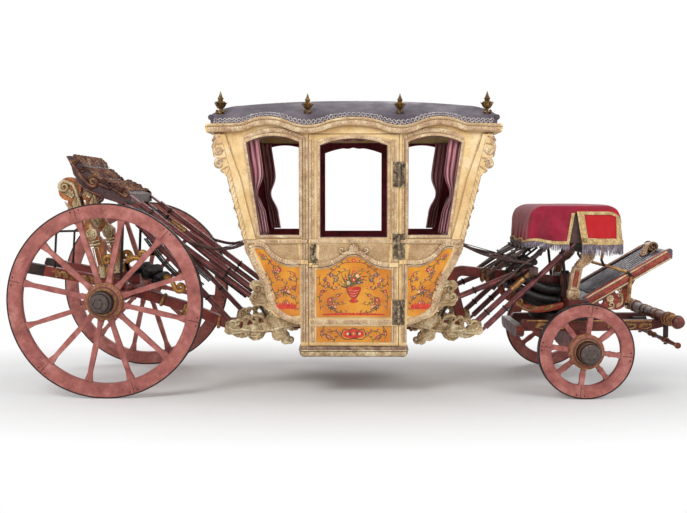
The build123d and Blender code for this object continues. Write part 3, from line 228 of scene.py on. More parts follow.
MATERIALS = {
    "wheel_wood": finish("wheel_paint", ((0.52, 0.27, 0.25), (0.65, 0.37, 0.34), (0.76, 0.5, 0.46)), (0.55, 0.75),
                         patch=9, beyond=(("Y", 0.864, 0.872, (0.36, 0.2, 0.13)),
                                          ("Y", 0.952, 0.958, (0.29, 0.25, 0.24))), shade_and_grime=(0.22, 0.12, 0.11),
                         worn=(0.72, 0.55, 0.42), worn_amount=0.5),
    "iron": finish("aged_iron", ((0.11, 0.09, 0.09), (0.17, 0.14, 0.13), (0.25, 0.19, 0.17)), (0.4, 0.65), 0.6,
                   patch=12, worn=(0.38, 0.26, 0.2), worn_amount=0.3),
    "gear_wood": finish("red_gear_paint", ((0.36, 0.1, 0.08), (0.48, 0.15, 0.11), (0.58, 0.22, 0.15)), (0.35, 0.6),
                        patch=6, shade_and_grime=(0.14, 0.06, 0.05), worn=(0.62, 0.4, 0.22), worn_amount=0.4, coat=0.15),
    "carved_wood": finish("old_gilding", ((0.58, 0.38, 0.17), (0.72, 0.52, 0.26), (0.84, 0.66, 0.38)), (0.35, 0.55),
                          0.55, patch=9, shade_and_grime=(0.3, 0.19, 0.09), worn=(0.55, 0.22, 0.12), worn_amount=0.45),
    "gilt_wood": finish("pale_gilding", ((0.84, 0.68, 0.45), (0.93, 0.79, 0.56), (0.98, 0.88, 0.7)), (0.38, 0.6),
                        0.12, patch=5, shade_and_grime=(0.48, 0.32, 0.2), worn=(0.66, 0.48, 0.28), worn_amount=0.4),
    "painted_panel": finish("panel_paint", ((0.76, 0.42, 0.05), (0.86, 0.53, 0.08), (0.92, 0.64, 0.16)), (0.25, 0.4),
                            patch=4, shade_and_grime=(0.45, 0.25, 0.08), coat=0.4),
    "roof_leather": finish("roof_leather", ((0.27, 0.23, 0.27), (0.36, 0.32, 0.36), (0.47, 0.43, 0.46)), (0.55, 0.8),
                           patch=3, pebble=140, worn=(0.55, 0.5, 0.5), worn_amount=0.4),
    "brace_leather": finish("brace_leather", ((0.17, 0.1, 0.09), (0.26, 0.16, 0.14), (0.38, 0.25, 0.22)), (0.45, 0.7),
                            patch=8, pebble=220, shade_and_grime=(0.08, 0.05, 0.05), worn=(0.5, 0.34, 0.28)),
    "footboard_leather": finish("footboard_leather", ((0.2, 0.16, 0.19), (0.3, 0.25, 0.29), (0.42, 0.36, 0.4)),
                                (0.35, 0.6), patch=6, pebble=180, shade_and_grime=(0.06, 0.04, 0.05)),
    "hammercloth": finish("hammercloth_velvet", ((0.46, 0.03, 0.13), (0.58, 0.06, 0.19), (0.68, 0.12, 0.26)),
                          (0.8, 0.95), patch=6, grain=700, grain_depth=0.0004, shade_and_grime=(0.22, 0.01, 0.04), sheen=0.2,
                          shade_and_grime_reach=0.05, beyond=(("X", 1.99, 2.01, (0.76, 0.06, 0.09)),
                                                    ("Z", 1.575, 1.59, (0.58, 0.06, 0.19)))),
    "curtain": finish("curtain_silk", ((0.72, 0.44, 0.48), (0.86, 0.58, 0.61), (0.94, 0.72, 0.73)), (0.45, 0.65),
                      patch=9, stretch=(3, 3, 0.4), grain=300, grain_depth=0.0003, shade_and_grime=(0.4, 0.18, 0.22),
                      sheen=0.3),
    "upholstery": finish("lining_velvet", ((0.34, 0.06, 0.1), (0.46, 0.1, 0.15), (0.58, 0.17, 0.21)), (0.75, 0.9),
                         patch=8, grain=600, grain_depth=0.0004, shade_and_grime=(0.12, 0.02, 0.04), sheen=0.4),
    "gilt_bronze": finish("dark_gilt_bronze", ((0.28, 0.2, 0.11), (0.45, 0.34, 0.19), (0.66, 0.52, 0.31)), (0.3, 0.5),
                          0.8, patch=20, shade_and_grime=(0.1, 0.07, 0.04)),
    "bracket_gilding": finish("bracket_gilding", ((0.64, 0.52, 0.38), (0.82, 0.71, 0.54), (0.96, 0.9, 0.74)),
                              (0.35, 0.55), 0.2, patch=14, shade_and_grime=(0.24, 0.16, 0.11), shade_and_grime_reach=0.035,
                              shade_and_grime_amount=0.95, carved=60, pit_shade=0.38),
    "carved_gilding": finish("carved_gilding", ((0.68, 0.53, 0.41), (0.85, 0.72, 0.56), (0.97, 0.89, 0.73)),
                             (0.38, 0.6), 0.15, patch=12, shade_and_grime=(0.46, 0.31, 0.24), shade_and_grime_reach=0.02,
                             shade_and_grime_amount=0.85, carved=95, pit_shade=0.42),
    "crest_gilding": finish("crest_gilding", ((0.24, 0.13, 0.11), (0.4, 0.23, 0.18), (0.66, 0.5, 0.34)), (0.4, 0.6),
                            0.35, patch=12, shade_and_grime=(0.07, 0.04, 0.04), shade_and_grime_reach=0.05, shade_and_grime_amount=0.95,
                            worn=(0.66, 0.5, 0.3)),
    "nail_trim": finish("nail_trim", ((0.62, 0.6, 0.62), (0.78, 0.76, 0.76), (0.93, 0.91, 0.88)), (0.3, 0.5), 0.4,
                        patch=30, shade_and_grime=(0.25, 0.2, 0.22), shade_and_grime_reach=0.01),
    "hinge_bronze": finish("hinge_bronze", ((0.4, 0.33, 0.26), (0.6, 0.52, 0.42), (0.82, 0.74, 0.6)), (0.3, 0.5), 0.4,
                           patch=24, shade_and_grime=(0.07, 0.05, 0.05), shade_and_grime_reach=0.02, carved=55, pit_shade=0.75),
    "nave_gilding": finish("worn_gear_gilding", ((0.42, 0.26, 0.16), (0.62, 0.44, 0.26), (0.8, 0.64, 0.4)),
                           (0.35, 0.55), 0.4, patch=26, shade_and_grime=(0.18, 0.09, 0.07), shade_and_grime_reach=0.015),
    "red_gilt_paint": finish("red_gilt_paint", ((0.48, 0.11, 0.09), (0.62, 0.2, 0.14), (0.74, 0.38, 0.24)),
                             (0.35, 0.55), patch=22, shade_and_grime=(0.2, 0.07, 0.05), worn=(0.84, 0.68, 0.42),
                             worn_amount=0.7, carved=60, pit_shade=0.5),
    "dark_gear": finish("dark_gear_paint", ((0.22, 0.08, 0.07), (0.34, 0.12, 0.1), (0.48, 0.2, 0.15)), (0.35, 0.6),
                        patch=8, shade_and_grime=(0.08, 0.04, 0.04), worn=(0.58, 0.38, 0.2)),
    "post_paint": finish("orange_post_paint", ((0.5, 0.28, 0.12), (0.68, 0.38, 0.18), (0.82, 0.52, 0.28)),
                         (0.35, 0.55), 0.2, patch=11, shade_and_grime=(0.2, 0.1, 0.06), worn=(0.45, 0.16, 0.1), carved=50,
                         pit_shade=0.5),
    "brace_plies": finish("brace_plies", ((0.3, 0.13, 0.13), (0.44, 0.21, 0.21), (0.6, 0.33, 0.33)), (0.4, 0.65),
                          patch=14, pebble=200, shade_and_grime=(0.1, 0.05, 0.06), worn=(0.7, 0.58, 0.56), worn_amount=0.5),
    "mauve_gilding": finish("mauve_gilding", ((0.36, 0.28, 0.24), (0.54, 0.43, 0.36), (0.76, 0.64, 0.5)), (0.4, 0.6),
                            0.25, patch=18, shade_and_grime=(0.16, 0.11, 0.1), shade_and_grime_reach=0.02, shade_and_grime_amount=0.95),
    "crest_plum": finish("crest_paint", ((0.2, 0.11, 0.12), (0.3, 0.17, 0.18), (0.42, 0.27, 0.25)), (0.4, 0.65),
                         patch=12, shade_and_grime=(0.08, 0.05, 0.05), worn=(0.52, 0.4, 0.28), carved=50, pit_shade=0.6),
    # Near-black leather that also stands in for the shade under the seat and over the rear bed: partly painted shade
    "black_leather_and_shade": finish("black_leather_and_shade", ((0.035, 0.028, 0.03), (0.075, 0.055, 0.055), (0.15, 0.11, 0.1)),
                            (0.35, 0.6), patch=16, pebble=160, worn=(0.34, 0.2, 0.16), worn_amount=0.5),
    "galloon": finish("gold_galloon", ((0.68, 0.54, 0.34), (0.82, 0.69, 0.46), (0.93, 0.84, 0.62)), (0.5, 0.7), 0.1,
                      patch=30, grain=500, grain_depth=0.001, shade_and_grime=(0.4, 0.26, 0.14), shade_and_grime_reach=0.01, carved=110,
                      pit_shade=0.4),
    "fringe": finish("grey_fringe", ((0.42, 0.37, 0.42), (0.56, 0.51, 0.55), (0.72, 0.67, 0.69)), (0.7, 0.9),
                     patch=25, grain=900, shade_and_grime=(0.24, 0.18, 0.22), shade_and_grime_reach=0.01, sheen=0.2),
}
PAINTS = (("paint_red", ((0.66, 0.1, 0.06), (0.8, 0.17, 0.08), (0.9, 0.3, 0.12))),
          ("paint_dark", ((0.16, 0.12, 0.08), (0.24, 0.19, 0.11), (0.36, 0.28, 0.14))),
          ("paint_green", ((0.28, 0.3, 0.1), (0.38, 0.38, 0.14), (0.52, 0.48, 0.18))),
          ("paint_pale", ((0.8, 0.58, 0.46), (0.9, 0.74, 0.56), (0.96, 0.86, 0.66))),
          ("paint_orange", ((0.8, 0.36, 0.06), (0.88, 0.46, 0.1), (0.93, 0.56, 0.16))),
          ("paint_plum", ((0.36, 0.2, 0.26), (0.48, 0.3, 0.34), (0.6, 0.42, 0.42))))
for name, tones in PAINTS:
    MATERIALS[name] = finish(name, tones, (0.25, 0.4), patch=22, coat=0.4)
OTHER_LOOK = {node: look for look, names in (
    ("bracket_gilding", ("body_brackets",)),
    ("hinge_bronze", ("hinge_knuckles", "door_fittings_right", "door_fittings_left")),
    ("carved_gilding", ("front_posts",)),
    ("red_gilt_paint", ("footboard_brackets",)),
    ("dark_gear", ("front_transom", "splinter_bar", "swingletree_right", "swingletree_left", "front_bed",
                   "futchells")),
    ("brace_leather", ("strap_beam", "seat_frame")),
    ("post_paint", ("rear_posts",)),
    ("brace_plies", ("braces",)),
    ("mauve_gilding", ("cabin_floor",)),
    ("crest_plum", ("crest_board",))) for node in names}
for row in frame["record"]["subparts"]:
    mesh = nodes[row["node"]].data
    mesh.materials.clear()
    mesh.materials.append(MATERIALS[OTHER_LOOK.get(row["node"], row["material_slot"])])


# Camera, light and floor

PICTURE = (687, 513)
FOCAL = 938.85
CAMERA_AT = (0.0448, -8.6651, 1.7143)
CAMERA_YAW, CAMERA_PITCH = 0.475, 3.72

lens = bpy.data.cameras.new("camera")
lens.sensor_width = 36.0
lens.lens = FOCAL * lens.sensor_width / PICTURE[0]
lens.clip_end = 200
camera = bpy.data.objects.new("camera", lens)
camera.location = CAMERA_AT
camera.rotation_euler = (math.radians(90 - CAMERA_PITCH), 0, math.radians(CAMERA_YAW))
bpy.context.scene.collection.objects.link(camera)
bpy.context.scene.camera = camera
bpy.context.scene.view_settings.view_transform = "Standard"


def area_light(name, place, target, size, power, tint=(1, 1, 1)):
    lamp = bpy.data.lights.new(name, "AREA")
    lamp.shape = "DISK"
    lamp.size = size
    lamp.energy = power
    lamp.color = tint
    obj = bpy.data.objects.new(name, lamp)
    obj.location = place
    obj.rotation_euler = (Vector(target) - Vector(place)).to_track_quat("-Z", "Y").to_euler()
    bpy.context.scene.collection.objects.link(obj)


area_light("key", (-5.0, -8.0, 8.0), (0, 0, 1.0), 5.0, 560)
area_light("fill", (7.0, -7.0, 5.0), (0, 0, 1.0), 5.0, 260)
area_light("back", (2.0, 9.0, 7.0), (0, 0, 1.2), 6.0, 300)

world = bpy.data.worlds.new("studio")
bpy.context.scene.world = world
world.use_nodes = True
tree = world.node_tree
tree.nodes.clear()
out = tree.nodes.new("ShaderNodeOutputWorld")
rays = tree.nodes.new("ShaderNodeLightPath")
seen = tree.nodes.new("ShaderNodeBackground")
seen.inputs["Color"].default_value = (1, 1, 1, 1)
light = tree.nodes.new("ShaderNodeBackground")
light.inputs["Color"].default_value = (0.93, 0.96, 1.0, 1)
light.inputs["Strength"].default_value = 0.5
either = tree.nodes.new("ShaderNodeMath")
either_too = tree.nodes.new("ShaderNodeMath")
either.operation = either_too.operation = "MAXIMUM"
pick = tree.nodes.new("ShaderNodeMixShader")
for source, socket in ((rays.outputs["Is Camera Ray"], either.inputs[0]),
                       (rays.outputs["Is Glossy Ray"], either.inputs[1]), (either.outputs[0], either_too.inputs[0]),
                       (rays.outputs["Is Transmission Ray"], either_too.inputs[1]),
                       (either_too.outputs[0], pick.inputs[0]), (light.outputs[0], pick.inputs[1]),
                       (seen.outputs[0], pick.inputs[2]), (pick.outputs[0], out.inputs["Surface"])):
    tree.links.new(source, socket)

floor_mesh = bpy.data.meshes.new("floor")
FLOOR_REACH = 60.0
floor_mesh.from_pydata([(x * FLOOR_REACH, y * FLOOR_REACH, 0) for x, y in ((-1, -1), (1, -1), (1, 1), (-1, 1))], [],
                       [(0, 1, 2, 3)])
floor = bpy.data.objects.new("floor", floor_mesh)
bpy.context.scene.collection.objects.link(floor)
n = Nodes("floor_paint")
spread = n.noise(0.8, 3)
tint = n.ramp(spread, "Fac", [(0.3, (0.9, 0.895, 0.885)), (0.7, (0.93, 0.927, 0.92))])
n.join(tint, "Color", n.shader, "Base Color")
n.shader.inputs["Roughness"].default_value = 0.9
stretch = n.at((0.42, 1, 0))
length = n.add("ShaderNodeVectorMath", operation="LENGTH")
n.join(stretch, "Vector", length, 0)
far_off = n.span(length, "Value", 0, 1, 0.9, 2.4)
seen_there = n.add("ShaderNodeLightPath")
both = n.add("ShaderNodeMath", operation="MULTIPLY")
n.join(far_off, "Result", both, 0)
n.join(seen_there, "Is Camera Ray", both, 1)
white = n.add("ShaderNodeEmission")
fade = n.add("ShaderNodeMixShader")
for source, output, socket in ((both, "Value", 0), (n.shader, "BSDF", 1), (white, "Emission", 2)):
    n.join(source, output, fade, socket)
n.join(fade, "Shader", n.out, "Surface")
floor_mesh.materials.append(n.material)


# Mesh tools

def smooth(points, per=8, closed=False):
    """Points along a smooth curve through the given ones."""
    p = np.asarray(points, float)
    if closed:
        p = np.vstack([p[-1], p, p[0], p[1]])
    else:
        p = np.vstack([2 * p[0] - p[1], p, 2 * p[-1] - p[-2]])
    t = np.linspace(0, 1, per, endpoint=False)[:, None]
    out = []
    for a, b, c, d in zip(p, p[1:], p[2:], p[3:]):
        out.append(0.5 * (2 * b + (c - a) * t + (2 * a - 5 * b + 4 * c - d) * t ** 2
                          + (3 * b - a - 3 * c + d) * t ** 3))
    if not closed:
        out.append(p[-2][None, :])
    return np.vstack(out)


def run_along(points):
    """How far along a line each of its points is."""
    return np.r_[0, np.cumsum(np.linalg.norm(np.diff(points, axis=0), axis=1))]


def resampled(points, count):
    """The same line as that many points, evenly spaced."""
    p = np.asarray(points, float)
    run = run_along(p)
    at = np.linspace(0, run[-1], count)
    return np.stack([np.interp(at, run, p[:, k]) for k in range(p.shape[1])], 1)


def evenly(points, step):
    """The same line with its points about a step apart."""
    return resampled(points, max(2, int(round(run_along(points)[-1] / step)) + 1))


def volute(start, heading, radius, turns=1.25, side=1, inner=0.22, per_turn=20):
    """Spiral in a plane from a point, heading that many degrees up from the first axis, winding in to one side."""
    h = math.radians(heading)
    centre = np.array(start) + radius * side * np.array([-math.sin(h), math.cos(h)])
    first = math.atan2(start[1] - centre[1], start[0] - centre[0])
    t = np.linspace(0, 1, int(per_turn * turns) + 2)
    r = radius * (1 - (1 - inner) * t ** 0.85)
    angle = first + side * t * turns * 2 * math.pi
    drift = np.array(start) - (centre + radius * np.array([math.cos(first), math.sin(first)]))
    return centre + drift + np.stack([r * np.cos(angle), r * np.sin(angle)], 1)


def upright(points, y):
    """Points (x, z) set at a distance across the coach."""
    p = np.asarray(points, float)
    return np.stack([p[:, 0], np.full(len(p), y) if np.isscalar(y) else np.asarray(y), p[:, 1]], 1)


def circle(radius=1.0, count=10):
    a = np.linspace(0, 2 * math.pi, count, endpoint=False)
    return np.stack([radius * np.cos(a), radius * np.sin(a)], 1)


def hoop(radius, y, count, centre=(0.0, 0.0)):
    """Points round a circle that faces across the coach."""
    x, z = circle(radius, count).T
    return np.stack([centre[0] + x, np.full(count, y), centre[1] + z], 1)


def facing(angle):
    """Heading in an upright plane along the coach, for an angle in radians."""
    return np.array([math.cos(angle), 0, math.sin(angle)])


def half_round(width=1.0, height=1.0, count=7):
    """Rounded top over a flat back, width either side of the middle."""
    a = np.linspace(0, math.pi, count)
    return np.stack([width * np.cos(a), height * np.sin(a)], 1)


def ring_faces(rings, count, closed=False):
    """Faces between rings of points, with one on each end where the rings don't close."""
    faces = []
    for r in range(rings if closed else rings - 1):
        a, b = r * count, (r + 1) % rings * count
        faces += [(a + i, a + (i + 1) % count, b + (i + 1) % count, b + i) for i in range(count)]
    if not closed:
        faces += [tuple(range(count - 1, -1, -1)), tuple((rings - 1) * count + i for i in range(count))]
    return faces


def two_skins(n, m, turned=False):
    """Faces of a net of n by m points over a second one, closed round the rim."""
    faces, half = [], n * m
    for a in range(n - 1):
        for b in range(m - 1):
            q = (a * m + b, a * m + b + 1, (a + 1) * m + b + 1, (a + 1) * m + b)
            if turned:
                q = (q[0], q[3], q[2], q[1])
            faces += [q, tuple(half + i for i in reversed(q))]
    rim = (list(range(m)) + [a * m + m - 1 for a in range(1, n)]
           + [(n - 1) * m + b for b in range(m - 2, -1, -1)] + [a * m for a in range(n - 2, 0, -1)])
    for a, b in zip(rim, rim[1:] + rim[:1]):
        faces.append((b, a, half + a, half + b))
    return faces


BAND = np.array([(1, 0), (1, 1), (-1, 1), (-1, 0)], float)
BEAD = np.array([(1, 0), (0.94, 0.42), (0.6, 0.92), (0, 1.15), (-0.6, 0.92), (-0.94, 0.42), (-1, 0)])
LEAF = np.array([(1, 0), (0.95, 0.3), (0.72, 0.55), (0.4, 0.42), (0, 1.0), (-0.4, 0.42), (-0.72, 0.55),
                 (-0.95, 0.3), (-1, 0)])


def sweep(path, outline, up=(0, 0, 1), wide=1.0, high=1.0, closed=False):
    """Outline (across, up) drawn along a path, wider or higher from point to point."""
    path, outline = np.asarray(path, float), np.asarray(outline, float)
    if outline.ndim == 2:
        outline = np.broadcast_to(outline, (len(path),) + outline.shape)
    rings, count = outline.shape[:2]
    along = (np.roll(path, -1, 0) - np.roll(path, 1, 0)) if closed else np.gradient(path, axis=0)
    along /= np.linalg.norm(along, axis=1, keepdims=True) + 1e-12
    up = np.broadcast_to(np.asarray(up, float), path.shape)
    across = np.cross(along, up)
    across /= np.linalg.norm(across, axis=1, keepdims=True) + 1e-12
    top = np.cross(across, along)
    wide, high = np.broadcast_to(wide, rings), np.broadcast_to(high, rings)
    verts = (path[:, None] + across[:, None] * (outline[:, :, 0] * wide[:, None])[:, :, None]
             + top[:, None] * (outline[:, :, 1] * high[:, None])[:, :, None]).reshape(-1, 3)
    return verts, ring_faces(rings, count, closed)


def tube(path, radius, count=10, closed=False):
    """Round bar along a path, whose radius may change."""
    path = np.asarray(path, float)
    along = np.gradient(path, axis=0)
    lead = np.abs(along).sum(0)
    up = np.eye(3)[int(np.argmin(lead))]
    return sweep(path, circle(1.0, count), up, radius, radius, closed)


def lathe(rings, at=(0, 0, 0), axis=(0, 0, 1), count=20):
    """Solid turned about an axis from rows of (distance along it, radius)."""
    turn = Vector((0, 0, 1)).rotation_difference(Vector(axis)).to_matrix()
    a = np.linspace(0, 2 * math.pi, count, endpoint=False)
    verts = []
    for along, radius in rings:
        verts += [(radius * math.cos(t), radius * math.sin(t), along) for t in a]
    verts = np.array(verts) @ np.array(turn).T + np.array(at)
    return verts, ring_faces(len(rings), count)


def leaf(path, up, width, height, lobes=5, tip=0.04, root=0.5):
    """Carved leaf along a path, lobed at its edges and pointed at its end."""
    path = evenly(path, max(0.002, np.linalg.norm(np.diff(path, axis=0), axis=1).sum() / (lobes * 4)))
    t = np.linspace(0, 1, len(path))
    body = (root + (1 - root) * np.sin(np.pi * np.clip(t * 1.15, 0, 0.5))) * (1 - t ** 3)
    notch = 0.72 + 0.28 * np.abs(np.sin(np.pi * t * lobes)) ** 0.6
    wide = width * np.maximum(body * notch, tip)
    high = height * np.maximum((1 - t ** 4) * (0.75 + 0.25 * np.abs(np.sin(np.pi * t * lobes))), 0.12)
    return sweep(path, LEAF, up, wide, high)


# Share of the radius and of the height at each ring of a flower
PETAL_RINGS = ((1.0, 0), (0.97, 0.35), (0.72, 0.62), (0.36, 0.36), (0.24, 0.8), (0.1, 1.0))


def flower(at, normal, radius, height, petals=6):
    """Rosette of petals round a boss."""
    count = petals * 5
    turn = np.array(Vector((0, 0, 1)).rotation_difference(Vector(normal)).to_matrix())
    a = np.linspace(0, 2 * math.pi, count, endpoint=False)
    edge = 0.74 + 0.26 * np.abs(np.cos(a * petals / 2)) ** 0.7
    verts = []
    for k, (share, rise) in enumerate(PETAL_RINGS):
        r = radius * share * (edge if k < 4 else 1.0)
        verts += list(np.stack([r * np.cos(a), r * np.sin(a), np.full(count, height * rise)], 1))
    verts = np.array(verts) @ turn.T + np.array(at)
    return verts, ring_faces(len(PETAL_RINGS), count)


class Piece:
    """Closed shapes gathered into one object."""

    def __init__(self, *shapes):
        self.shapes = list(shapes)

    def add(self, *shapes):
        self.shapes += shapes
        return self

    def scrollwork(self, path, up, width, height, outline=BEAD, taper=0.35):
        """Moulded scroll along a path, thinner towards both ends."""
        t = np.linspace(0, 1, len(path))
        share = taper + (1 - taper) * np.sin(np.pi * np.clip(t, 0.02, 0.98)) ** 0.5
        self.shapes.append(sweep(path, outline, up, width * share, height * share))
        return self

    def curl(self, points, radius, turns, side, y, width, height, up=OUT):
        """Moulded scroll through points (x, z) that ends in a volute."""
        return self.scrollwork(upright(scroll(points, radius, turns, side), y), up, width, height)

    def acanthus(self, points, y, width, height, up=OUT, lobes=5):
        """Carved leaf through points (x, z)."""
        return self.add(leaf(smooth(upright(points, y), 6), up, width, height, lobes))

    def bead(self, points, y, width, height, outline=BEAD):
        """Plain moulding on the right side through points (x from the cabin's middle, z)."""
        return self.add(sweep(at_side(points, y), outline, OUT, width, height))

    def carved(self, points, y, width, height, pitch, slant=0.5, base=0.35, closed=False):
        """Moulding like bead, carved with a row of leaves."""
        return self.add(carved_band(at_side(points, y), OUT, width, height, pitch, slant, base, closed=closed))

    def mirror(self, axis, about=0.0):
        """A copy on the other side of a plane."""
        made = Piece()
        for verts, faces in self.shapes:
            flipped = np.array(verts, float)
            flipped[:, axis] = 2 * about - flipped[:, axis]
            made.shapes.append((flipped, [tuple(reversed(f)) for f in faces]))
        return made

    def both_sides(self):
        self.shapes += self.mirror(1).shapes
        return self

    def both_ends(self):
        self.shapes += self.mirror(0, CABIN_X).shapes
        return self

    def make(self, name, body, slot, material=None, replaces=(), sharp=50):
        verts, faces, start = [], [], 0
        for v, f in self.shapes:
            verts.append(np.asarray(v, float))
            faces += [tuple(i + start for i in face) for face in f]
            start += len(v)
        mesh = bpy.data.meshes.new(name)
        mesh.from_pydata(np.vstack(verts).tolist(), [], faces)
        bm = bmesh.new()
        bm.from_mesh(mesh)
        bmesh.ops.recalc_face_normals(bm, faces=bm.faces)
        bm.to_mesh(mesh)
        bm.free()
        return finished(name, mesh, body, slot, material, replaces, sharp)


def finished(name, mesh, body, slot, material=None, replaces=(), sharp=50):
    """Object of a mesh, with its material, riding on a body."""
    mesh.polygons.foreach_set("use_smooth", [True] * len(mesh.polygons))
    mesh.set_sharp_from_angle(angle=math.radians(sharp))
    mesh.materials.append(MATERIALS[material or slot])
    obj = bpy.data.objects.new(name, mesh)
    bpy.context.scene.collection.objects.link(obj)
    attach(obj, body)
    if replaces:
        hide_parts(*replaces)
    return obj


def apply_modifiers(obj):
    """The mesh as its modifiers leave it."""
    bpy.context.view_layer.update()
    graph = bpy.context.evaluated_depsgraph_get()
    mesh = bpy.data.meshes.new_from_object(obj.evaluated_get(graph))
    obj.modifiers.clear()
    obj.data = mesh


def sheet_of(name, grid, body, slot, thickness, replaces=(), skip=()):
    """Cloth from rows of points, with a thickness."""
    grid = np.asarray(grid, float)
    rows, cols = grid.shape[:2]
    faces = [(r * cols + c, r * cols + c + 1, (r + 1) * cols + c + 1, (r + 1) * cols + c)
             for r in range(rows - 1) for c in range(cols - 1) if (r, c) not in skip]
    mesh = bpy.data.meshes.new(name)
    mesh.from_pydata(grid.reshape(-1, 3).tolist(), [], faces)
    bm = bmesh.new()
    bm.from_mesh(mesh)
    bmesh.ops.remove_doubles(bm, verts=bm.verts, dist=1e-5)
    bmesh.ops.delete(bm, geom=[v for v in bm.verts if not v.link_faces], context="VERTS")
    bmesh.ops.recalc_face_normals(bm, faces=bm.faces)
    bm.to_mesh(mesh)
    bm.free()
    obj = finished(name, mesh, body, slot, replaces=replaces, sharp=80)
    solid = obj.modifiers.new("thickness", "SOLIDIFY")
    solid.thickness = thickness
    solid.offset = 0
    apply_modifiers(obj)
    return obj


def edge_x(z, out=0.0):
    """How far out from the cabin's middle its corner is at a height above the waist."""
    return WAIST_HALF + (z - WAIST) * LEAN + out


# Driver's seat

SEAT_X = (1.605, 2.395)
SEAT_HALF = 0.46
SEAT_TOP = 1.614
SEAT_ROUND = 0.12
SLIT_X = 2.0
HEM_Z = 1.286


def rounded_box(hx, hy, corner, count):
    """Points round a rectangle with rounded corners, from the middle of its right side."""
    cx = (SEAT_X[0] + SEAT_X[1]) / 2
    corner = min(corner, hx, hy)
    points = [(cx, -hy)]
    for sx, sy, first in ((1, -1, -90), (1, 1, 0), (-1, 1, 90), (-1, -1, 180)):
        for a in np.linspace(first, first + 90, 9):
            points.append((cx + sx * (hx - corner) + corner * math.cos(math.radians(a)),
                           sy * (hy - corner) + corner * math.sin(math.radians(a))))
    return resampled(points + [(cx, -hy)], count)


def seat_drop(x, clear=0.006):
    """How far the seat's top falls below its middle at a place along the coach."""
    half = (SEAT_X[1] - SEAT_X[0]) / 2
    radius = SEAT_ROUND + clear
    past = np.clip(np.abs(x - SLIT_X) - (half - SEAT_ROUND), 0, radius * 0.999)
    return radius - np.sqrt(radius ** 2 - past ** 2)


def hammercloth_grid():
    """Rows of points of the seat's cover, from the middle of its top to its hem."""
    columns = 353
    hx, hy = (SEAT_X[1] - SEAT_X[0]) / 2, SEAT_HALF
    s = np.linspace(0, 1, columns)
    rows = []
    for share in np.r_[0.0, np.linspace(0.07, 0.8, 11), np.linspace(0.84, 0.985, 9)]:
        ring = rounded_box(max(hx * share, 0.004), max(hy * share, 0.004), 0.05 * share + 0.002, columns)
        if not share:
            ring = np.broadcast_to((SLIT_X, 0.0), ring.shape)
        r = np.maximum(np.abs(ring[:, 0] - SLIT_X) / hx, np.abs(ring[:, 1]) / hy)
        lift = 0.014 * (1 - r ** 4) + 0.003 * np.sin(ring[:, 0] * 31 + ring[:, 1] * 17) * (1 - r)
        rows.append(np.stack([ring[:, 0], ring[:, 1], SEAT_TOP + 0.007 + lift - seat_drop(ring[:, 0])], 1))
    top = len(rows)
    for turn in np.linspace(20, 90, 5):
        ring = rounded_box(hx - 0.01 + 0.018 * math.sin(math.radians(turn)),
                           hy - 0.01 + 0.018 * math.sin(math.radians(turn)), 0.05, columns)
        fall = 0.018 * (1 - math.cos(math.radians(turn)))
        rows.append(np.column_stack([ring, SEAT_TOP + 0.006 - fall - seat_drop(ring[:, 0])]))
    shoulder = rows[-1]
    outer = rounded_box(hx + 0.008, hy + 0.008, 0.055, columns)
    heading = np.gradient(outer, axis=0)
    heading /= np.linalg.norm(heading, axis=1, keepdims=True)
    out = np.stack([heading[:, 1], -heading[:, 0]], 1)
    behind = np.clip((SLIT_X - outer[:, 0]) / 0.4, 0, 1)
    hem = HEM_Z + 0.026 * behind + 0.007 * np.sin(s * 2 * math.pi * 9 + 0.8) * (0.5 + behind)
    for t in np.linspace(0, 1, 24)[1:]:
        fold = (0.0065 * np.sin(s * 2 * math.pi * 17 + 0.9 * np.sin(s * 31))
                + 0.003 * np.sin(s * 2 * math.pi * 41)) * t
        place = outer + out * (0.012 * t + fold + 0.003 * t)[:, None]
        rows.append(np.column_stack([place, shoulder[:, 2] + (hem - shoulder[:, 2]) * t]))
    grid = np.array(rows)
    first = top + 7
    for r in range(first, len(rows)):
        t = (r - first) / (len(rows) - 1 - first)
        near, far = np.exp(-(s * 13) ** 2), np.exp(-((1 - s) * 13) ** 2)
        grid[r, :, 0] += 0.046 * t * (near - far)
        middle = np.exp(-((s - 0.5) * 26) ** 2)
        away = np.where(s < 0.5, 1, -1)
        grid[r, :, 0] += 0.04 * t * middle * away
    return grid, first


def offset_strip(grid, rows, columns, low=0.0006, high=0.0042, raised=0.0):
    """Part of a cloth's surface as a flat band laid over it, as a closed shape."""
    part = grid[np.ix_(rows, columns)]
    down = np.gradient(part, axis=0)
    along = np.gradient(part, axis=1)
    normal = np.cross(down, along)
    normal /= np.linalg.norm(normal, axis=2, keepdims=True) + 1e-9
    centre = np.array([SLIT_X, 0, 1.3])
    flip = np.sign(((part - centre) * normal).sum(2, keepdims=True))
    normal = normal * np.where(flip == 0, 1, flip)
    n, m = part.shape[:2]
    weave = raised * np.abs(np.sin(np.arange(m) * 1.3))[None, :, None]
    upper = part + normal * (0.004 + high + weave)
    lower = part + normal * low
    return np.vstack([upper.reshape(-1, 3), lower.reshape(-1, 3)]), two_skins(n, m)


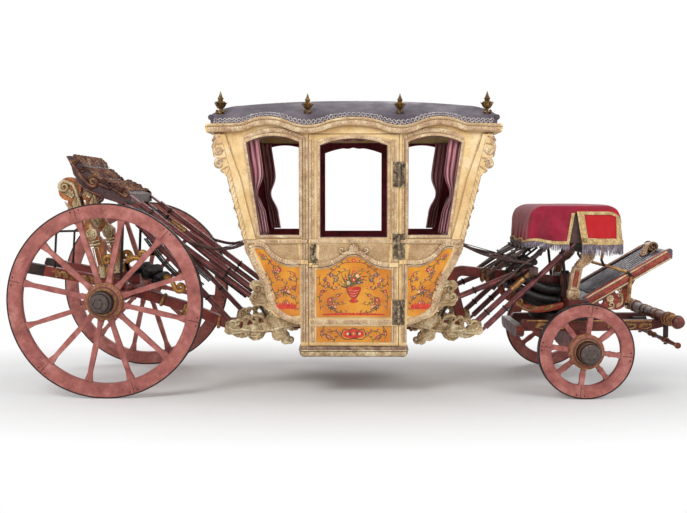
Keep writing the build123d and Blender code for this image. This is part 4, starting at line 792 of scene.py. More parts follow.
def hammercloth():
    """Cover over the seat, slit at the middle of each side, with galloon along its edges and a fringe."""
    grid, first = hammercloth_grid()
    rows, columns = grid.shape[:2]
    half = columns // 2
    skip = {(r, c) for r in range(first, rows) for c in (0, columns - 2, half - 1, half)}
    cloth = sheet_of("hammercloth_cover", grid, "coach", "hammercloth", 0.004, replaces=("hammercloth",), skip=skip)
    gold = Piece()
    upright_rows = list(range(first, rows - 1))
    spans = {"front": list(range(1, half)), "rear": list(range(half + 1, columns - 1))}
    for name, wide in (("front", 4), ("rear", 2)):
        gold.add(offset_strip(grid, list(range(rows - wide - 1, rows)), spans[name], raised=0.001))
    for start in (1, half - 42):
        gold.add(offset_strip(grid, [first - 1, first, first + 1], list(range(start, start + 42)), raised=0.0008))
    for start, wide in ((1, 6), (half - 7, 6), (half + 1, 3), (columns - 5, 3), (36, 5), (half - 42, 5)):
        gold.add(offset_strip(grid, upright_rows, list(range(start, start + wide + 1)), raised=0.001))
    galloon = gold.make("hammercloth_galloon", "coach", "gilt_wood", "galloon")
    threads = Piece()
    centre = np.array([[SLIT_X, 0.0, 0.0]])
    for name, long in (("front", 0.088), ("rear", 0.052)):
        line = evenly(grid[-1][spans[name]], 0.0065)
        outs = (line - centre) * (1, 1, 0)
        outs /= np.linalg.norm(outs, axis=1, keepdims=True)
        for k, (p, o) in enumerate(zip(line, outs)):
            drop = long + 0.007 * math.sin(k * 1.7) + 0.005 * math.sin(k * 0.37)
            t = np.linspace(0, 1, 6)
            sway = 0.003 * math.sin(k * 2.3)
            path = p + o * (0.002 + 0.003 * np.sin(t * 3 + k))[:, None] + np.stack([sway * t, 0 * t, -drop * t], 1)
            threads.add(sweep(path, circle(1, 5), o, 0.0031 * (1 - 0.25 * t), 0.0031 * (1 - 0.25 * t)))
    fringe = threads.make("hammercloth_fringe", "coach", "curtain", "fringe")


hammercloth()


# Inside the cabin

INNER_Y = SIDE_Y - 0.045


def curtain(name, end, side):
    """Gathered curtain in the outer corner of a quarter window, tied back at its middle."""
    lean = (0.905 - 0.792) / (2.158 - 1.38)
    top, low = 2.226, 1.392
    rows = []
    folds = np.linspace(0, 1, 73)
    for t in np.linspace(0, 1, 34):
        z = top + (low - top) * t
        outer = 0.792 + (z - 1.38) * lean + 0.022
        tie = math.exp(-((t - 0.6) / 0.13) ** 2)
        width = 0.125 - 0.075 * tie - 0.03 * (t > 0.6) * min(1, (t - 0.6) * 4)
        x = outer - width * folds
        wave = folds * 2 * math.pi * 3.5 + 0.9 * math.sin(t * 4) + 1.2 * np.sin(folds * 5 + t * 3)
        depth = (0.017 - 0.006 * tie) * np.sin(wave) + 0.004 * np.sin(folds * 2 * math.pi * 11 + t * 6)
        y = INNER_Y - 0.029 - depth
        rows.append(np.stack([CABIN_X + end * x, np.full(73, side) * y, np.full(73, z)], 1))
    return sheet_of(name, rows, "coach", "curtain", 0.0018)


for end, end_name in ((1, "front"), (-1, "rear")):
    for side, side_name in ((-1, "right"), (1, "left")):
        hung = curtain(f"curtain_{end_name}_{side_name}", end, side)
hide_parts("curtains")


def pad(low, high, buttons=()):
    """Stuffed pad in a box of space, crowned, with its sides drawn in between its corners."""
    low, high = np.array(low), np.array(high)
    size = high - low
    n_u, n_v = 49, 33
    axis = int(np.argmin(size))
    u_axis, v_axis = [k for k in (0, 1, 2) if k != axis]
    if size[u_axis] < size[v_axis]:
        u_axis, v_axis = v_axis, u_axis
    u, v = np.meshgrid(np.linspace(-1, 1, n_u), np.linspace(-1, 1, n_v), indexing="ij")
    edge = np.minimum(1, (1 - np.abs(u) ** 6) * (1 - np.abs(v) ** 6))
    puff = 0.55 * edge ** 0.4 + 0.45 * (1 - u ** 2) ** 0.5 * (1 - v ** 2) ** 0.5
    for bu, bv in buttons:
        puff = puff - 0.42 * np.exp(-(((u - bu) * size[u_axis]) ** 2 + ((v - bv) * size[v_axis]) ** 2) / 0.0011)
    inward = 1 - 0.02 * (1 - v ** 2), 1 - 0.03 * (1 - u ** 2)
    centre = (low + high) / 2
    verts = np.zeros((2, n_u, n_v, 3))
    for k, sign in ((0, 1), (1, -1)):
        verts[k, :, :, u_axis] = centre[u_axis] + u * inward[0] * size[u_axis] / 2
        verts[k, :, :, v_axis] = centre[v_axis] + v * inward[1] * size[v_axis] / 2
        rise = np.clip(puff if k == 0 else edge ** 0.3, 0.02, 1)
        verts[k, :, :, axis] = centre[axis] + sign * size[axis] / 2 * rise
    return verts.reshape(-1, 3), two_skins(n_u, n_v, turned=True)


def cushions():
    """Seat cushions and buttoned backs of both benches."""
    made = []
    top = FLOOR_LINE + 0.008 + 0.045 + 0.3
    for end, end_name in ((1, "front"), (-1, "rear")):
        x = sorted((CABIN_X + end * 0.326, CABIN_X + end * 0.686))
        seat = Piece(pad((x[0], -INNER_Y + 0.016, top + 0.001), (x[1], INNER_Y - 0.016, top + 0.094))).make(
            f"seat_cushion_{end_name}", "coach", "upholstery")
        buttons = [(bu, bv) for row, bv in enumerate((-0.55, 0.0, 0.55)) for bu in
                   np.linspace(-0.8, 0.8, 6 if row % 2 == 0 else 5) * (1 if row % 2 == 0 else 0.8)]
        x = sorted((end * 0.855, end * 0.925))
        verts, faces = pad((x[0], -INNER_Y + 0.055, 1.343), (x[1], INNER_Y - 0.055, 1.697), buttons)
        if end > 0:
            verts[:, 0] = 1.78 - verts[:, 0]
        verts[:, 0] += CABIN_X + end * (verts[:, 2] - WAIST) * LEAN - end * 0.052
        back = Piece((verts, faces)).make(f"back_cushion_{end_name}", "coach", "upholstery")
        made += [seat, back]
    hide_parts("cushions")


cushions()


# Carved work

def scroll(points, radius, turns=1.2, side=1):
    """Points (x, z) of a smooth line that ends in a volute."""
    line = smooth(points, 10)
    heading = math.degrees(math.atan2(*(line[-1] - line[-2])[::-1]))
    return evenly(np.vstack([line, volute(line[-1], heading, radius, turns, side)[1:]]), 0.009)


def from_middle(points):
    """Points (x, z) whose x counts from the cabin's middle."""
    return [(CABIN_X + x, z) for x, z in points]


def lower_bracket():
    """Pierced scrolls and leaves under the cabin's front right corner, round the braces' clasp."""
    made = Piece()
    for y, up in ((-STRAP_Y - 0.03, OUT), (-STRAP_Y + 0.03, LEFT)):
        for points, radius, turns, side, width in (
                ([(0.47, 0.6), (0.6, 0.56), (0.72, 0.53), (0.84, 0.52), (0.95, 0.53), (1.06, 0.53)], 0.05, 1.1, 1,
                 0.017),
                ([(0.7, 0.52), (0.62, 0.455), (0.575, 0.42)], 0.03, 0.9, -1, 0.013),
                ([(0.62, 0.6), (0.64, 0.65), (0.68, 0.69)], 0.034, 1.2, -1, 0.014),
                ([(0.76, 0.56), (0.8, 0.64), (0.86, 0.66)], 0.036, 1.2, -1, 0.013),
                ([(0.9, 0.54), (0.88, 0.6), (0.93, 0.64)], 0.03, 1.2, -1, 0.012),
                ([(0.98, 0.54), (0.96, 0.6), (1.01, 0.62)], 0.028, 1.2, -1, 0.011),
                ([(0.8, 0.52), (0.86, 0.47), (0.92, 0.48)], 0.026, 1.1, 1, 0.011)):
            made.curl(from_middle(points), radius, turns, side, y, width, width * 0.9, up)
        sign = -1 if y < -STRAP_Y else 1
        for points, width in (([(0.48, 0.62), (0.56, 0.59), (0.64, 0.64), (0.66, 0.7)], 0.03),
                              ([(0.66, 0.54), (0.6, 0.5), (0.57, 0.44), (0.59, 0.4)], 0.024),
                              ([(0.7, 0.54), (0.76, 0.59), (0.75, 0.65), (0.71, 0.68)], 0.026),
                              ([(0.8, 0.53), (0.85, 0.58), (0.85, 0.64), (0.81, 0.67)], 0.024),
                              ([(0.9, 0.53), (0.95, 0.57), (0.95, 0.62), (0.91, 0.65)], 0.022),
                              ([(0.78, 0.52), (0.82, 0.47), (0.88, 0.45), (0.93, 0.47)], 0.022),
                              ([(0.9, 0.52), (0.96, 0.48), (1.03, 0.48), (1.08, 0.5)], 0.022),
                              ([(1.0, 0.54), (1.06, 0.57), (1.11, 0.6), (1.125, 0.57)], 0.024)):
            made.acanthus(from_middle(points), y + sign * 0.004, width, 0.02, up)
    return made


def upper_bracket():
    """Scrolls and a leaf where the bracket meets the cabin's corner."""
    made = Piece()
    for y, up in ((-STRAP_Y - 0.034, OUT), (-STRAP_Y + 0.034, LEFT)):
        for points, radius, side, width in (([(0.7, 0.8), (0.76, 0.9), (0.83, 0.93)], 0.034, -1, 0.015),
                                            ([(0.74, 0.78), (0.83, 0.78), (0.88, 0.8)], 0.032, 1, 0.014)):
            made.curl(from_middle(points), radius, 1.2, side, y, width, width, up)
        made.acanthus(from_middle(((0.7, 0.76), (0.76, 0.82), (0.82, 0.86), (0.87, 0.85))), y, 0.03, 0.022, up)
    return made


brackets = Piece(*lower_bracket().shapes, *upper_bracket().shapes).both_ends().both_sides()
brackets.make("bracket_carving", "coach", "carved_wood", "bracket_gilding")


def corner_carving():
    """Leaves that overlap down the corner pillar, from a bold scroll under the cornice, at the front right."""
    made = Piece()
    y = -SIDE_Y - 0.006

    def at(z, out):
        return CABIN_X + edge_x(z, out), z

    made.curl([at(2.235, -0.02), at(2.19, 0.012), at(2.14, 0.05), at(2.09, 0.06)], 0.036, 1.3, -1, y, 0.02, 0.022)
    made.curl([at(1.99, 0), at(2.02, 0.04), at(2, 0.066)], 0.03, 1.3, -1, y, 0.02, 0.024)
    for z, out, reach, size in ((2.21, 0.01, 0.07, 0.03), (2.15, 0.035, 0.06, 0.03), (2.09, 0.03, 0.075, 0.034),
                                (2.03, 0.02, 0.08, 0.036), (1.96, -0.004, 0.08, 0.03)):
        made.acanthus([at(z, -0.02), at(z - 0.01, out), at(z - 0.035, out + reach * 0.5),
                       at(z - 0.06, out + reach * 0.42)], y, size, 0.026)
    for k, z in enumerate(np.linspace(1.9, 1.36, 13)):
        size = 0.026 - 0.006 * k / 12
        made.acanthus([at(z + 0.05, -0.035), at(z + 0.02, -0.012), at(z - 0.015, 0.006), at(z - 0.03, 0.004)], y,
                      size, 0.02, lobes=4)
        made.acanthus([at(z + 0.03, -0.03), at(z, -0.045), at(z - 0.03, -0.052)], y, size * 0.8, 0.016, lobes=4)
    spine = [at(z, -0.028) for z in np.linspace(2.18, 1.35, 30)]
    made.add(sweep(upright(spine, y), BEAD, OUT, 0.01, 0.014))
    for z in np.linspace(1.33, 1.24, 3):
        made.acanthus([at(z + 0.03, -0.02), at(z, 0.0), at(z - 0.03, -0.006)], y, 0.024, 0.02, lobes=4)
    return made


corner_carving().both_ends().both_sides().make("corner_carving", "coach", "gilt_wood", "carved_gilding")


FINIAL_Z = 2.402


def finial(x, y, size):
    """Urn with a lobed dish, a bud of leaves and a pointed flame, on a scrolled foot."""
    rings = [(-0.03, 0.024), (0.002, 0.026), (0.006, 0.032), (0.012, 0.03), (0.016, 0.016), (0.024, 0.011),
             (0.034, 0.013), (0.04, 0.019), (0.05, 0.026), (0.062, 0.031), (0.072, 0.035), (0.076, 0.043),
             (0.082, 0.045), (0.087, 0.04), (0.092, 0.03), (0.098, 0.021), (0.106, 0.018), (0.11, 0.023),
             (0.116, 0.024), (0.122, 0.019), (0.132, 0.014), (0.146, 0.009), (0.162, 0.004), (0.17, 0.0012)]
    centre = np.array([CABIN_X + x, y, FINIAL_Z])
    made = Piece(lathe([(h * size, r * size) for h, r in rings], centre, count=14))

    def outward(angle, rows):
        away = np.array([math.cos(angle), math.sin(angle), 0])
        return away, smooth([centre + away * r * size + np.array([0, 0, h * size]) for h, r in rows], 4)

    for k in range(8):
        away, path = outward(k * math.pi / 4, ((0.04, 0.016), (0.056, 0.03), (0.07, 0.038), (0.084, 0.049),
                                               (0.092, 0.047)))
        made.add(leaf(path, away + np.array([0, 0, 0.2]), 0.012 * size, 0.006 * size, 3))
    for angle in (0.6, 2.2, 3.9, 5.4):
        path = outward(angle, ((-0.004, 0.02), (0.006, 0.036), (0.016, 0.042), (0.024, 0.034), (0.018, 0.028)))[1]
        made.add(tube(path, 0.006 * size, 6))
    return made


finials = Piece()
for x, size in ((-1.12, 1.1), (-0.388, 1.0), (0.388, 1.0), (1.12, 1.1)):
    finials.add(*finial(x, -SIDE_Y + 0.036, size).shapes)
finials.both_sides().make("roof_finials", "coach", "gilt_bronze", replaces=("finials",))


# Rear stand

def rear_stand_carving():
    """Panels, collars, scrolls and capital of the right rear standard."""
    gilt = Piece()
    foot = REAR_X - 0.149
    lean = math.atan2(1.42 - 1.02, -0.098)
    along = np.array([math.cos(lean), math.sin(lean)])
    across = np.array([along[1], -along[0]])
    start = np.array([foot - 0.002, 1.02])

    def place(s, t):
        return tuple(start + along * s + across * t)

    for side_y, up in ((-RAIL_Y - 0.048, OUT), (-RAIL_Y + 0.048, LEFT)):
        ring = [place(s, t) for s, t in ((0.0, -0.032), (0.0, 0.032), (0.235, 0.024), (0.235, -0.024))]
        line = np.vstack([np.linspace(ring[k], ring[(k + 1) % 4], 8, endpoint=False) for k in range(4)])
        gilt.add(sweep(upright(line, side_y), half_round(0.006, 0.006, 5), up, closed=True))
        for s in (-0.03, 0.262, 0.29):
            line = np.linspace(place(s, -0.055), place(s, 0.055), 8)
            gilt.add(sweep(upright(line, side_y), BEAD, up, 0.012, 0.012))
        for sign in (1, -1):
            gilt.curl([place(0.3, sign * 0.01), place(0.34, sign * 0.035), place(0.375, sign * 0.04)], 0.022, 1.2,
                      sign, side_y, 0.011, 0.012, up)
        gilt.acanthus([place(0.3, 0.0), place(0.36, 0.0), place(0.42, 0.004), place(0.46, 0.012)], side_y, 0.034,
                      0.02, up)
        gilt.curl([(foot - 0.175, 1.6), (foot - 0.205, 1.7), (foot - 0.24, 1.8), (foot - 0.3, 1.835)], 0.052,
                  1.6, 1, side_y, 0.018, 0.02, up)
        for points, width, height in (([(-0.15, 1.45), (-0.2, 1.54), (-0.225, 1.64), (-0.215, 1.74)], 0.046, 0.026),
                                      ([(-0.17, 1.42), (-0.245, 1.52), (-0.275, 1.6), (-0.325, 1.66)], 0.04, 0.024),
                                      ([(-0.24, 1.7), (-0.29, 1.74), (-0.34, 1.72)], 0.04, 0.024),
                                      ([(0.04, 0.99), (0, 1.03), (-0.02, 1.1)], 0.04, 0.02)):
            gilt.acanthus([(foot + x, z) for x, z in points], side_y, width, height, up)
    return gilt


rear_stand_carving().both_sides().make("rear_post_carving", "coach", "carved_wood", "bracket_gilding")


CREST_TAIL = REAR_X - 0.415


def crest_top(x):
    """Height of the crest's upper face at a place along the coach."""
    out, heights = np.transpose([(0, 2.056), (0.078, 2.048), (0.13, 1.985), (0.3, 1.838), (0.38, 1.83),
                                 (0.44, 1.79), (0.548, 1.73)])
    return np.interp(x, CREST_TAIL + out, heights)


def crest_carving():
    """Scrolls and leaves that run down the crest from its raised back, on its top and both ends."""
    made = Piece()
    for sign in (-1, 1):
        y, up = sign * 0.45, (0, sign, 0)
        for points, radius, side, width in (([(0.03, 2.02), (0.09, 1.94), (0.14, 1.86), (0.2, 1.8)], 0.045, 1, 0.02),
                                            ([(0.2, 1.88), (0.28, 1.82), (0.36, 1.78)], 0.036, 1, 0.017),
                                            ([(0.36, 1.8), (0.44, 1.75), (0.5, 1.71)], 0.03, 1, 0.015),
                                            ([(0.08, 1.84), (0.18, 1.76), (0.3, 1.71)], 0.028, -1, 0.015)):
            made.curl([(CREST_TAIL + x, z) for x, z in points], radius, 1.3, side, y, width, width, up)
        for points, width in (([(0.04, 1.98), (0.1, 2.02), (0.13, 1.99)], 0.03),
                              ([(0.1, 1.92), (0.17, 1.95), (0.2, 1.91)], 0.03),
                              ([(0.18, 1.86), (0.25, 1.88), (0.29, 1.85)], 0.028),
                              ([(0.27, 1.82), (0.34, 1.85), (0.38, 1.82)], 0.028),
                              ([(0.36, 1.78), (0.43, 1.81), (0.47, 1.78)], 0.026),
                              ([(0.44, 1.74), (0.5, 1.77), (0.54, 1.74)], 0.024)):
            made.acanthus([(CREST_TAIL + x, z) for x, z in points], y, width, 0.024, up)
    for y in np.linspace(-0.41, 0.41, 9):
        for out, step in ((0.05, 0.11), (0.17, 0.12), (0.3, 0.12), (0.42, 0.11)):
            x0 = CREST_TAIL + out
            sway = 0.03 * math.sin(y * 23 + x0 * 9)
            xs = np.linspace(x0, x0 + step, 5)
            path = np.stack([xs, y + sway * np.linspace(0, 1, 5), crest_top(xs) + 0.004], 1)
            path[-1, 2] += 0.02
            made.add(leaf(smooth(path, 4), (0.5, 0, 1), 0.042, 0.022, 4))
    return made


crest_carving().make("crest_carving", "coach", "carved_wood", "crest_gilding")


# Cabin mouldings

def belly(share):
    """Height at a share of the way up from the cabin's floor line to its waist."""
    return FLOOR_LINE + (WAIST - FLOOR_LINE) * share


QUARTER_WINDOW = [(0.458, 1.38), (0.458, 2.16), (0.905, 2.158, 0.69, 2.214), (0.792, 1.38)]
DOOR_WINDOW = [(-0.284, 1.36), (-0.284, 2.134), (0.284, 2.134, 0, 2.192), (0.284, 1.36)]
QUARTER_LINE = [(0.838, belly(0.899)), (0.742, belly(0.869), 0.79, belly(0.899)),
                (0.458, belly(0.692), 0.6, belly(0.703))]
DOOR_LINE = [(-0.316, belly(0.656)), (-0.19, belly(0.68), -0.25, belly(0.66)),
             (-0.07, belly(0.783), -0.128, belly(0.728)), (0.07, belly(0.783), 0, belly(0.809)),
             (0.19, belly(0.68), 0.128, belly(0.728)), (0.316, belly(0.656), 0.25, belly(0.66))]
HINGES = (0.725, 1.285, 1.89)


def drawn(rows, per=14, closed=False):
    """Dense points along rows of (x, z), each with the middle of the arc that leads there, if any."""
    rows = list(rows) + ([rows[0][:2]] if closed else [])
    points = [np.array(rows[0][:2], float)]
    for row in rows[1:]:
        a, b = points[-1], np.array(row[:2], float)
        if len(row) == 4:
            m = np.array(row[2:], float)
            (ax, ay), (bx, by) = a - m, b - m
            d = 2 * (ax * by - ay * bx)
            c = m + np.array([by * (ax * ax + ay * ay) - ay * (bx * bx + by * by),
                              ax * (bx * bx + by * by) - bx * (ax * ax + ay * ay)]) / d
            first = math.atan2(*(a - c)[::-1])
            middle = (math.atan2(*(m - c)[::-1]) - first + math.pi) % (2 * math.pi) - math.pi
            r = np.linalg.norm(a - c)
            for t in np.linspace(0, 2 * middle, per + 1)[1:-1]:
                points.append(c + r * np.array([math.cos(first + t), math.sin(first + t)]))
        points.append(b)
    return np.array(points[:-1] if closed else points)


def beside(points, out, closed=False):
    """The line moved sideways, to the right of its heading."""
    p = np.asarray(points, float)
    if closed:
        before, after = p - np.roll(p, 1, 0), np.roll(p, -1, 0) - p
        before /= np.linalg.norm(before, axis=1, keepdims=True)
        after /= np.linalg.norm(after, axis=1, keepdims=True)
        run = before + after
        share = 1 / np.maximum(0.5, np.linalg.norm(run, axis=1, keepdims=True) / 2)
    else:
        run, share = np.gradient(p, axis=0), 1.0
    run /= np.linalg.norm(run, axis=1, keepdims=True)
    return p + np.stack([run[:, 1], -run[:, 0]], 1) * out * share


def at_side(points, y=-SIDE_Y):
    """Points (x from the cabin's middle, z) on the coach's right side."""
    p = np.array(points, float)
    p[:, 0] += CABIN_X
    return upright(p, y)


def carved_band(path, up, width, height, pitch, slant=0.5, base=0.35, count=3, closed=False):
    """Flat moulding carved with a row of leaves that point along it."""
    path = np.asarray(path, float)
    path = evenly(np.vstack([path, path[:1]]), pitch / 4)[:-1] if closed else evenly(path, pitch / 4)
    run = run_along(path)
    u = np.linspace(1, -1, count)
    rise = base + (1 - base) * np.abs(np.sin(np.pi * (run[:, None] / pitch + slant * np.abs(u)))) ** 0.7
    top = np.sqrt(1 - 0.75 * u * u) * rise
    outline = np.zeros((len(path), count + 2, 2))
    outline[:, 0, 0], outline[:, -1, 0] = 1, -1
    outline[:, 1:-1, 0] = u
    outline[:, 1:-1, 1] = top
    return sweep(path, outline, up, width, height, closed)


def inside(polygon, x, z):
    """Whether a point lies in a polygon."""
    hit = False
    for (x1, z1), (x2, z2) in zip(polygon, np.roll(polygon, -1, 0)):
        if (z1 > z) != (z2 > z) and x < (x2 - x1) * (z - z1) / (z2 - z1) + x1:
            hit = not hit
    return hit


def net(polygon, y, pitch=0.011, size=0.0046, height=0.0035):
    """Small four-sided beads in rows over a polygon on the right side, as closed shapes."""
    polygon = np.asarray(polygon, float)
    (x0, z0), (x1, z1) = polygon.min(0), polygon.max(0)
    verts, faces = [], []
    for row in range(int((z1 - z0) / (pitch * 0.5))):
        z = z0 + row * pitch * 0.5
        x = x0 + (row % 2) * pitch / 2
        while x < x1:
            if inside(polygon, x, z):
                i = len(verts)
                cx = x + CABIN_X
                verts += [(cx - size, y, z), (cx, y, z - size), (cx + size, y, z), (cx, y, z + size),
                          (cx, y - height, z)]
                faces += [(i, i + 1, i + 4), (i + 1, i + 2, i + 4), (i + 2, i + 3, i + 4), (i + 3, i, i + 4),
                          (i + 3, i + 2, i + 1, i)]
            x += pitch
    return np.array(verts), faces


def ring_panel(outer, hole, near, far):
    """Upright board on the right side, from one distance across to another, with a hole in it."""
    outer, hole = np.asarray(outer, float), np.asarray(hole, float)
    centre = hole.mean(0)
    bearing = set(np.linspace(-math.pi, math.pi, 49)[:-1])
    for polygon in (outer, hole):
        d = polygon - centre
        bearing |= set(np.arctan2(d[:, 1], d[:, 0]))
    bearing = np.array(sorted(bearing))
    bearing = bearing[np.r_[True, np.diff(bearing) > 1e-4]]

    def reach(polygon):
        found = np.zeros(len(bearing))
        for a, b in zip(polygon, np.roll(polygon, -1, 0)):
            a, b = a - centre, b - centre
            for k, t in enumerate(bearing):
                ray = np.array([math.cos(t), math.sin(t)])
                side = b - a
                d = ray[0] * side[1] - ray[1] * side[0]
                if abs(d) < 1e-12:
                    continue
                s = (a[0] * side[1] - a[1] * side[0]) / d
                w = (a[0] * ray[1] - a[1] * ray[0]) / d
                if s > 0 and -1e-6 <= w <= 1 + 1e-6:
                    found[k] = max(found[k], s)
        return centre + np.stack([np.cos(bearing), np.sin(bearing)], 1) * found[:, None]

    out, back = reach(outer), reach(hole)
    rings = [at_side(out, near), at_side(back, near), at_side(back, far), at_side(out, far)]
    return np.vstack(rings), ring_faces(len(rings), len(bearing), True)


quarter_window = drawn(QUARTER_WINDOW, closed=True)
door_window = drawn(DOOR_WINDOW, closed=True)
quarter_line = drawn(QUARTER_LINE, 10)
door_line = drawn(DOOR_LINE, 8)
lower_edge = smooth([(0.88, 1.292), (0.862, 1.205), (0.815, 1.105), (0.755, 1.01), (0.722, 0.915), (0.7, 0.835),
                     (0.662, 0.755), (0.6, 0.702), (0.53, 0.668), (0.462, 0.65)], 6)


def gaps_in(low, high, gaps):
    """Runs between two heights that leave out a reach round each of some heights."""
    runs, start = [], low
    for middle, reach in gaps:
        if middle - reach > start + 0.03:
            runs.append((start, middle - reach))
        start = middle + reach
    if high > start + 0.03:
        runs.append((start, high))
    return runs


def quarter_carving(front):
    """Mouldings of the right side's front or rear quarter, drawn for the front."""
    made = Piece()
    face = -SIDE_Y
    border = beside(quarter_window, -0.011, True)
    made.carved(border, face - 0.008, 0.0105, 0.006, 0.018, closed=True)
    made.carved(quarter_line + (0, 0.042), face - 0.012, 0.017, 0.01, 0.022, 0.8, 0.2)
    made.bead(quarter_line + (0, 0.014), face, 0.007, 0.008)
    made.carved(lower_edge, face, 0.02, 0.012, 0.026, 0.7, 0.25)
    made.bead(beside(lower_edge, -0.026), face, 0.006, 0.008)
    made.bead([(0.846, WAIST + 0.03), (1.052, 2.15)], face, 0.01, 0.013)
    made.carved([(0.868, WAIST + 0.03), (1.072, 2.15)], face, 0.013, 0.009, 0.022)
    made.carved([(0.395, WAIST - 0.007), (0.9, WAIST - 0.007)], face - 0.012, 0.012, 0.006, 0.018)
    x = 0.418
    gaps = [(h, 0.112) for h in HINGES] if front else []
    for low, high in gaps_in(0.47, 2.2, gaps):
        made.bead([(x, low), (x, high)], face, 0.009, 0.012)
        for side in (-1, 1):
            if not (front and side < 0):
                made.carved([(x + side * 0.022, low), (x + side * 0.022, high)], face, 0.009, 0.007, 0.016)
    arch = drawn([(0.425, 2.196), (0.905, 2.196, 0.69, 2.262)], 16)
    made.carved(arch, face, 0.018, 0.014, 0.026, 0.3, 0.4)
    area = [(0.47, WAIST - 0.03), (0.88, WAIST - 0.03), (0.862, 1.3)]
    made.add(net(area + [tuple(p) for p in quarter_line + (0, 0.066)], face))
    return made


front, rear = quarter_carving(True), quarter_carving(False).mirror(0, CABIN_X)
Piece(*front.shapes, *rear.shapes).both_sides().make("quarter_carving", "coach", "gilt_wood", "carved_gilding")


def door_carving():
    """Mouldings and net of the right door."""
    made = Piece()
    face = -SIDE_Y
    border = beside(door_window, -0.011, True)
    made.carved(border, face - 0.008, 0.0105, 0.006, 0.018, closed=True)
    line = np.array([p for p in door_line if -0.3 < p[0] < 0.312])
    made.carved(line + (0, 0.042), face - 0.012, 0.017, 0.01, 0.022, 0.8, 0.2)
    made.bead(line + (0, 0.014), face, 0.007, 0.008)
    made.carved([(-0.366, 0.642), (0.318, 0.642)], face - 0.01, 0.02, 0.008, 0.024, 0.8, 0.25)
    made.carved([(-0.366, WAIST - 0.007), (0.318, WAIST - 0.007)], face - 0.012, 0.012, 0.006, 0.018)
    for low, high in gaps_in(0.47, 2.18, [(1.216, 0.085)]):
        made.bead([(-0.343, low), (-0.343, high)], face, 0.01, 0.009)
        made.carved([(-0.364, low), (-0.364, high)], face, 0.009, 0.006, 0.016)
    for low, high in gaps_in(0.47, 2.18, [(h, 0.112) for h in HINGES]):
        made.bead([(0.33, low), (0.33, high)], face, 0.009, 0.009)
        made.carved([(0.352, low), (0.352, high)], face, 0.01, 0.006, 0.016)
    area = [(-0.29, WAIST - 0.03), (0.312, WAIST - 0.03)]
    made.add(net(area + [tuple(p) for p in (line + (0, 0.066))[::-1]], face))
    for turn in range(7):
        a = math.radians(90 + (turn - 3) * 24)
        long = 0.06 - 0.006 * abs(turn - 3)
        ray = [(0.004 * math.cos(a), 1.246), (long * 0.5 * math.cos(a), 1.246 + long * 0.5 * math.sin(a)),
               (long * math.cos(a), 1.246 + long * math.sin(a))]
        made.bead(smooth(ray, 4), face - 0.014, np.linspace(0.004, 0.012, 9), np.linspace(0.008, 0.014, 9),
                  half_round())
    for side in (-1, 1):
        curl = scroll([(side * 0.03, 1.236), (side * 0.075, 1.222), (side * 0.11, 1.236)], 0.02, 1.1, side)
        made.scrollwork(at_side(curl, face - 0.01), OUT, 0.009, 0.012)
    made.carved(drawn([(-0.31, 2.166), (0.31, 2.166, 0, 2.206)], 16), face, 0.012, 0.009, 0.022, 0.3, 0.4)
    return made


def door_pieces(made, name, slot, material=None):
    """The right door's piece, and its mirror on the left door."""
    made.make(name + "_right", "right_door", slot, material)
    made.mirror(1).make(name + "_left", "left_door", slot, material)


door_pieces(door_carving(), "door_carving", "gilt_wood", "carved_gilding")


# Cornice, roof edge and plinth

CORNICE_OUT = 0.045
WAVE_HALF = [(1.237, 2.312), (0.99, 2.316), (0.87, 2.345, 0.925, 2.324), (0.555, 2.338, 0.715, 2.372),
             (0.215, 2.34, 0.385, 2.3)]


def wave_line():
    """The cornice's upper line from the rear to the front, (x from the cabin's middle, z)."""
    rows = [(-x[0], x[1]) + ((-x[2], x[3]) if len(x) == 4 else ()) for x in WAVE_HALF]
    rows.append((0.215, 2.34, 0, 2.368))
    for here, step in zip(reversed(WAVE_HALF[:-1]), reversed(WAVE_HALF[1:])):
        rows.append(here[:2] + (step[2:] if len(step) == 4 else ()))
    return drawn(rows, 10)


def cornice_carving():
    """Carved and plain mouldings round the cornice, along its waves at the sides."""
    made = Piece()
    face = -SIDE_Y - CORNICE_OUT
    line = np.array([p for p in evenly(wave_line(), 0.01) if abs(p[0]) < 1.225])
    made.bead(line - (0, 0.01), face - 0.012, 0.006, 0.005, half_round())
    made.carved(line - (0, 0.042), face, 0.017, 0.011, 0.024, 0.6, 0.3)
    made.bead(line - (0, 0.063), face, 0.004, 0.006, half_round())
    made.both_sides()
    for end in (-1, 1):
        x = CABIN_X + end * (1.192 + CORNICE_OUT)
        for z, wide, high, pitch in ((2.286, 0.02, 0.01, 0.024), (2.258, 0.004, 0.006, 0.02)):
            path = np.array([(x, -0.765, z), (x, 0.765, z)])
            made.add(carved_band(path, (end, 0, 0), wide, high, pitch, 0.6, 0.3))
    return made


cornice_carving().make("cornice_carving", "coach", "carved_wood", "carved_gilding")

# The roof's cross section is an arc over its upright edge
ROOF_HALF, ROOF_RISE, ROOF_TOP = 0.754, 0.189, 2.574
ROOF_R = (ROOF_HALF ** 2 + ROOF_RISE ** 2) / (2 * ROOF_RISE)
ROOF_ZC = ROOF_TOP - ROOF_R


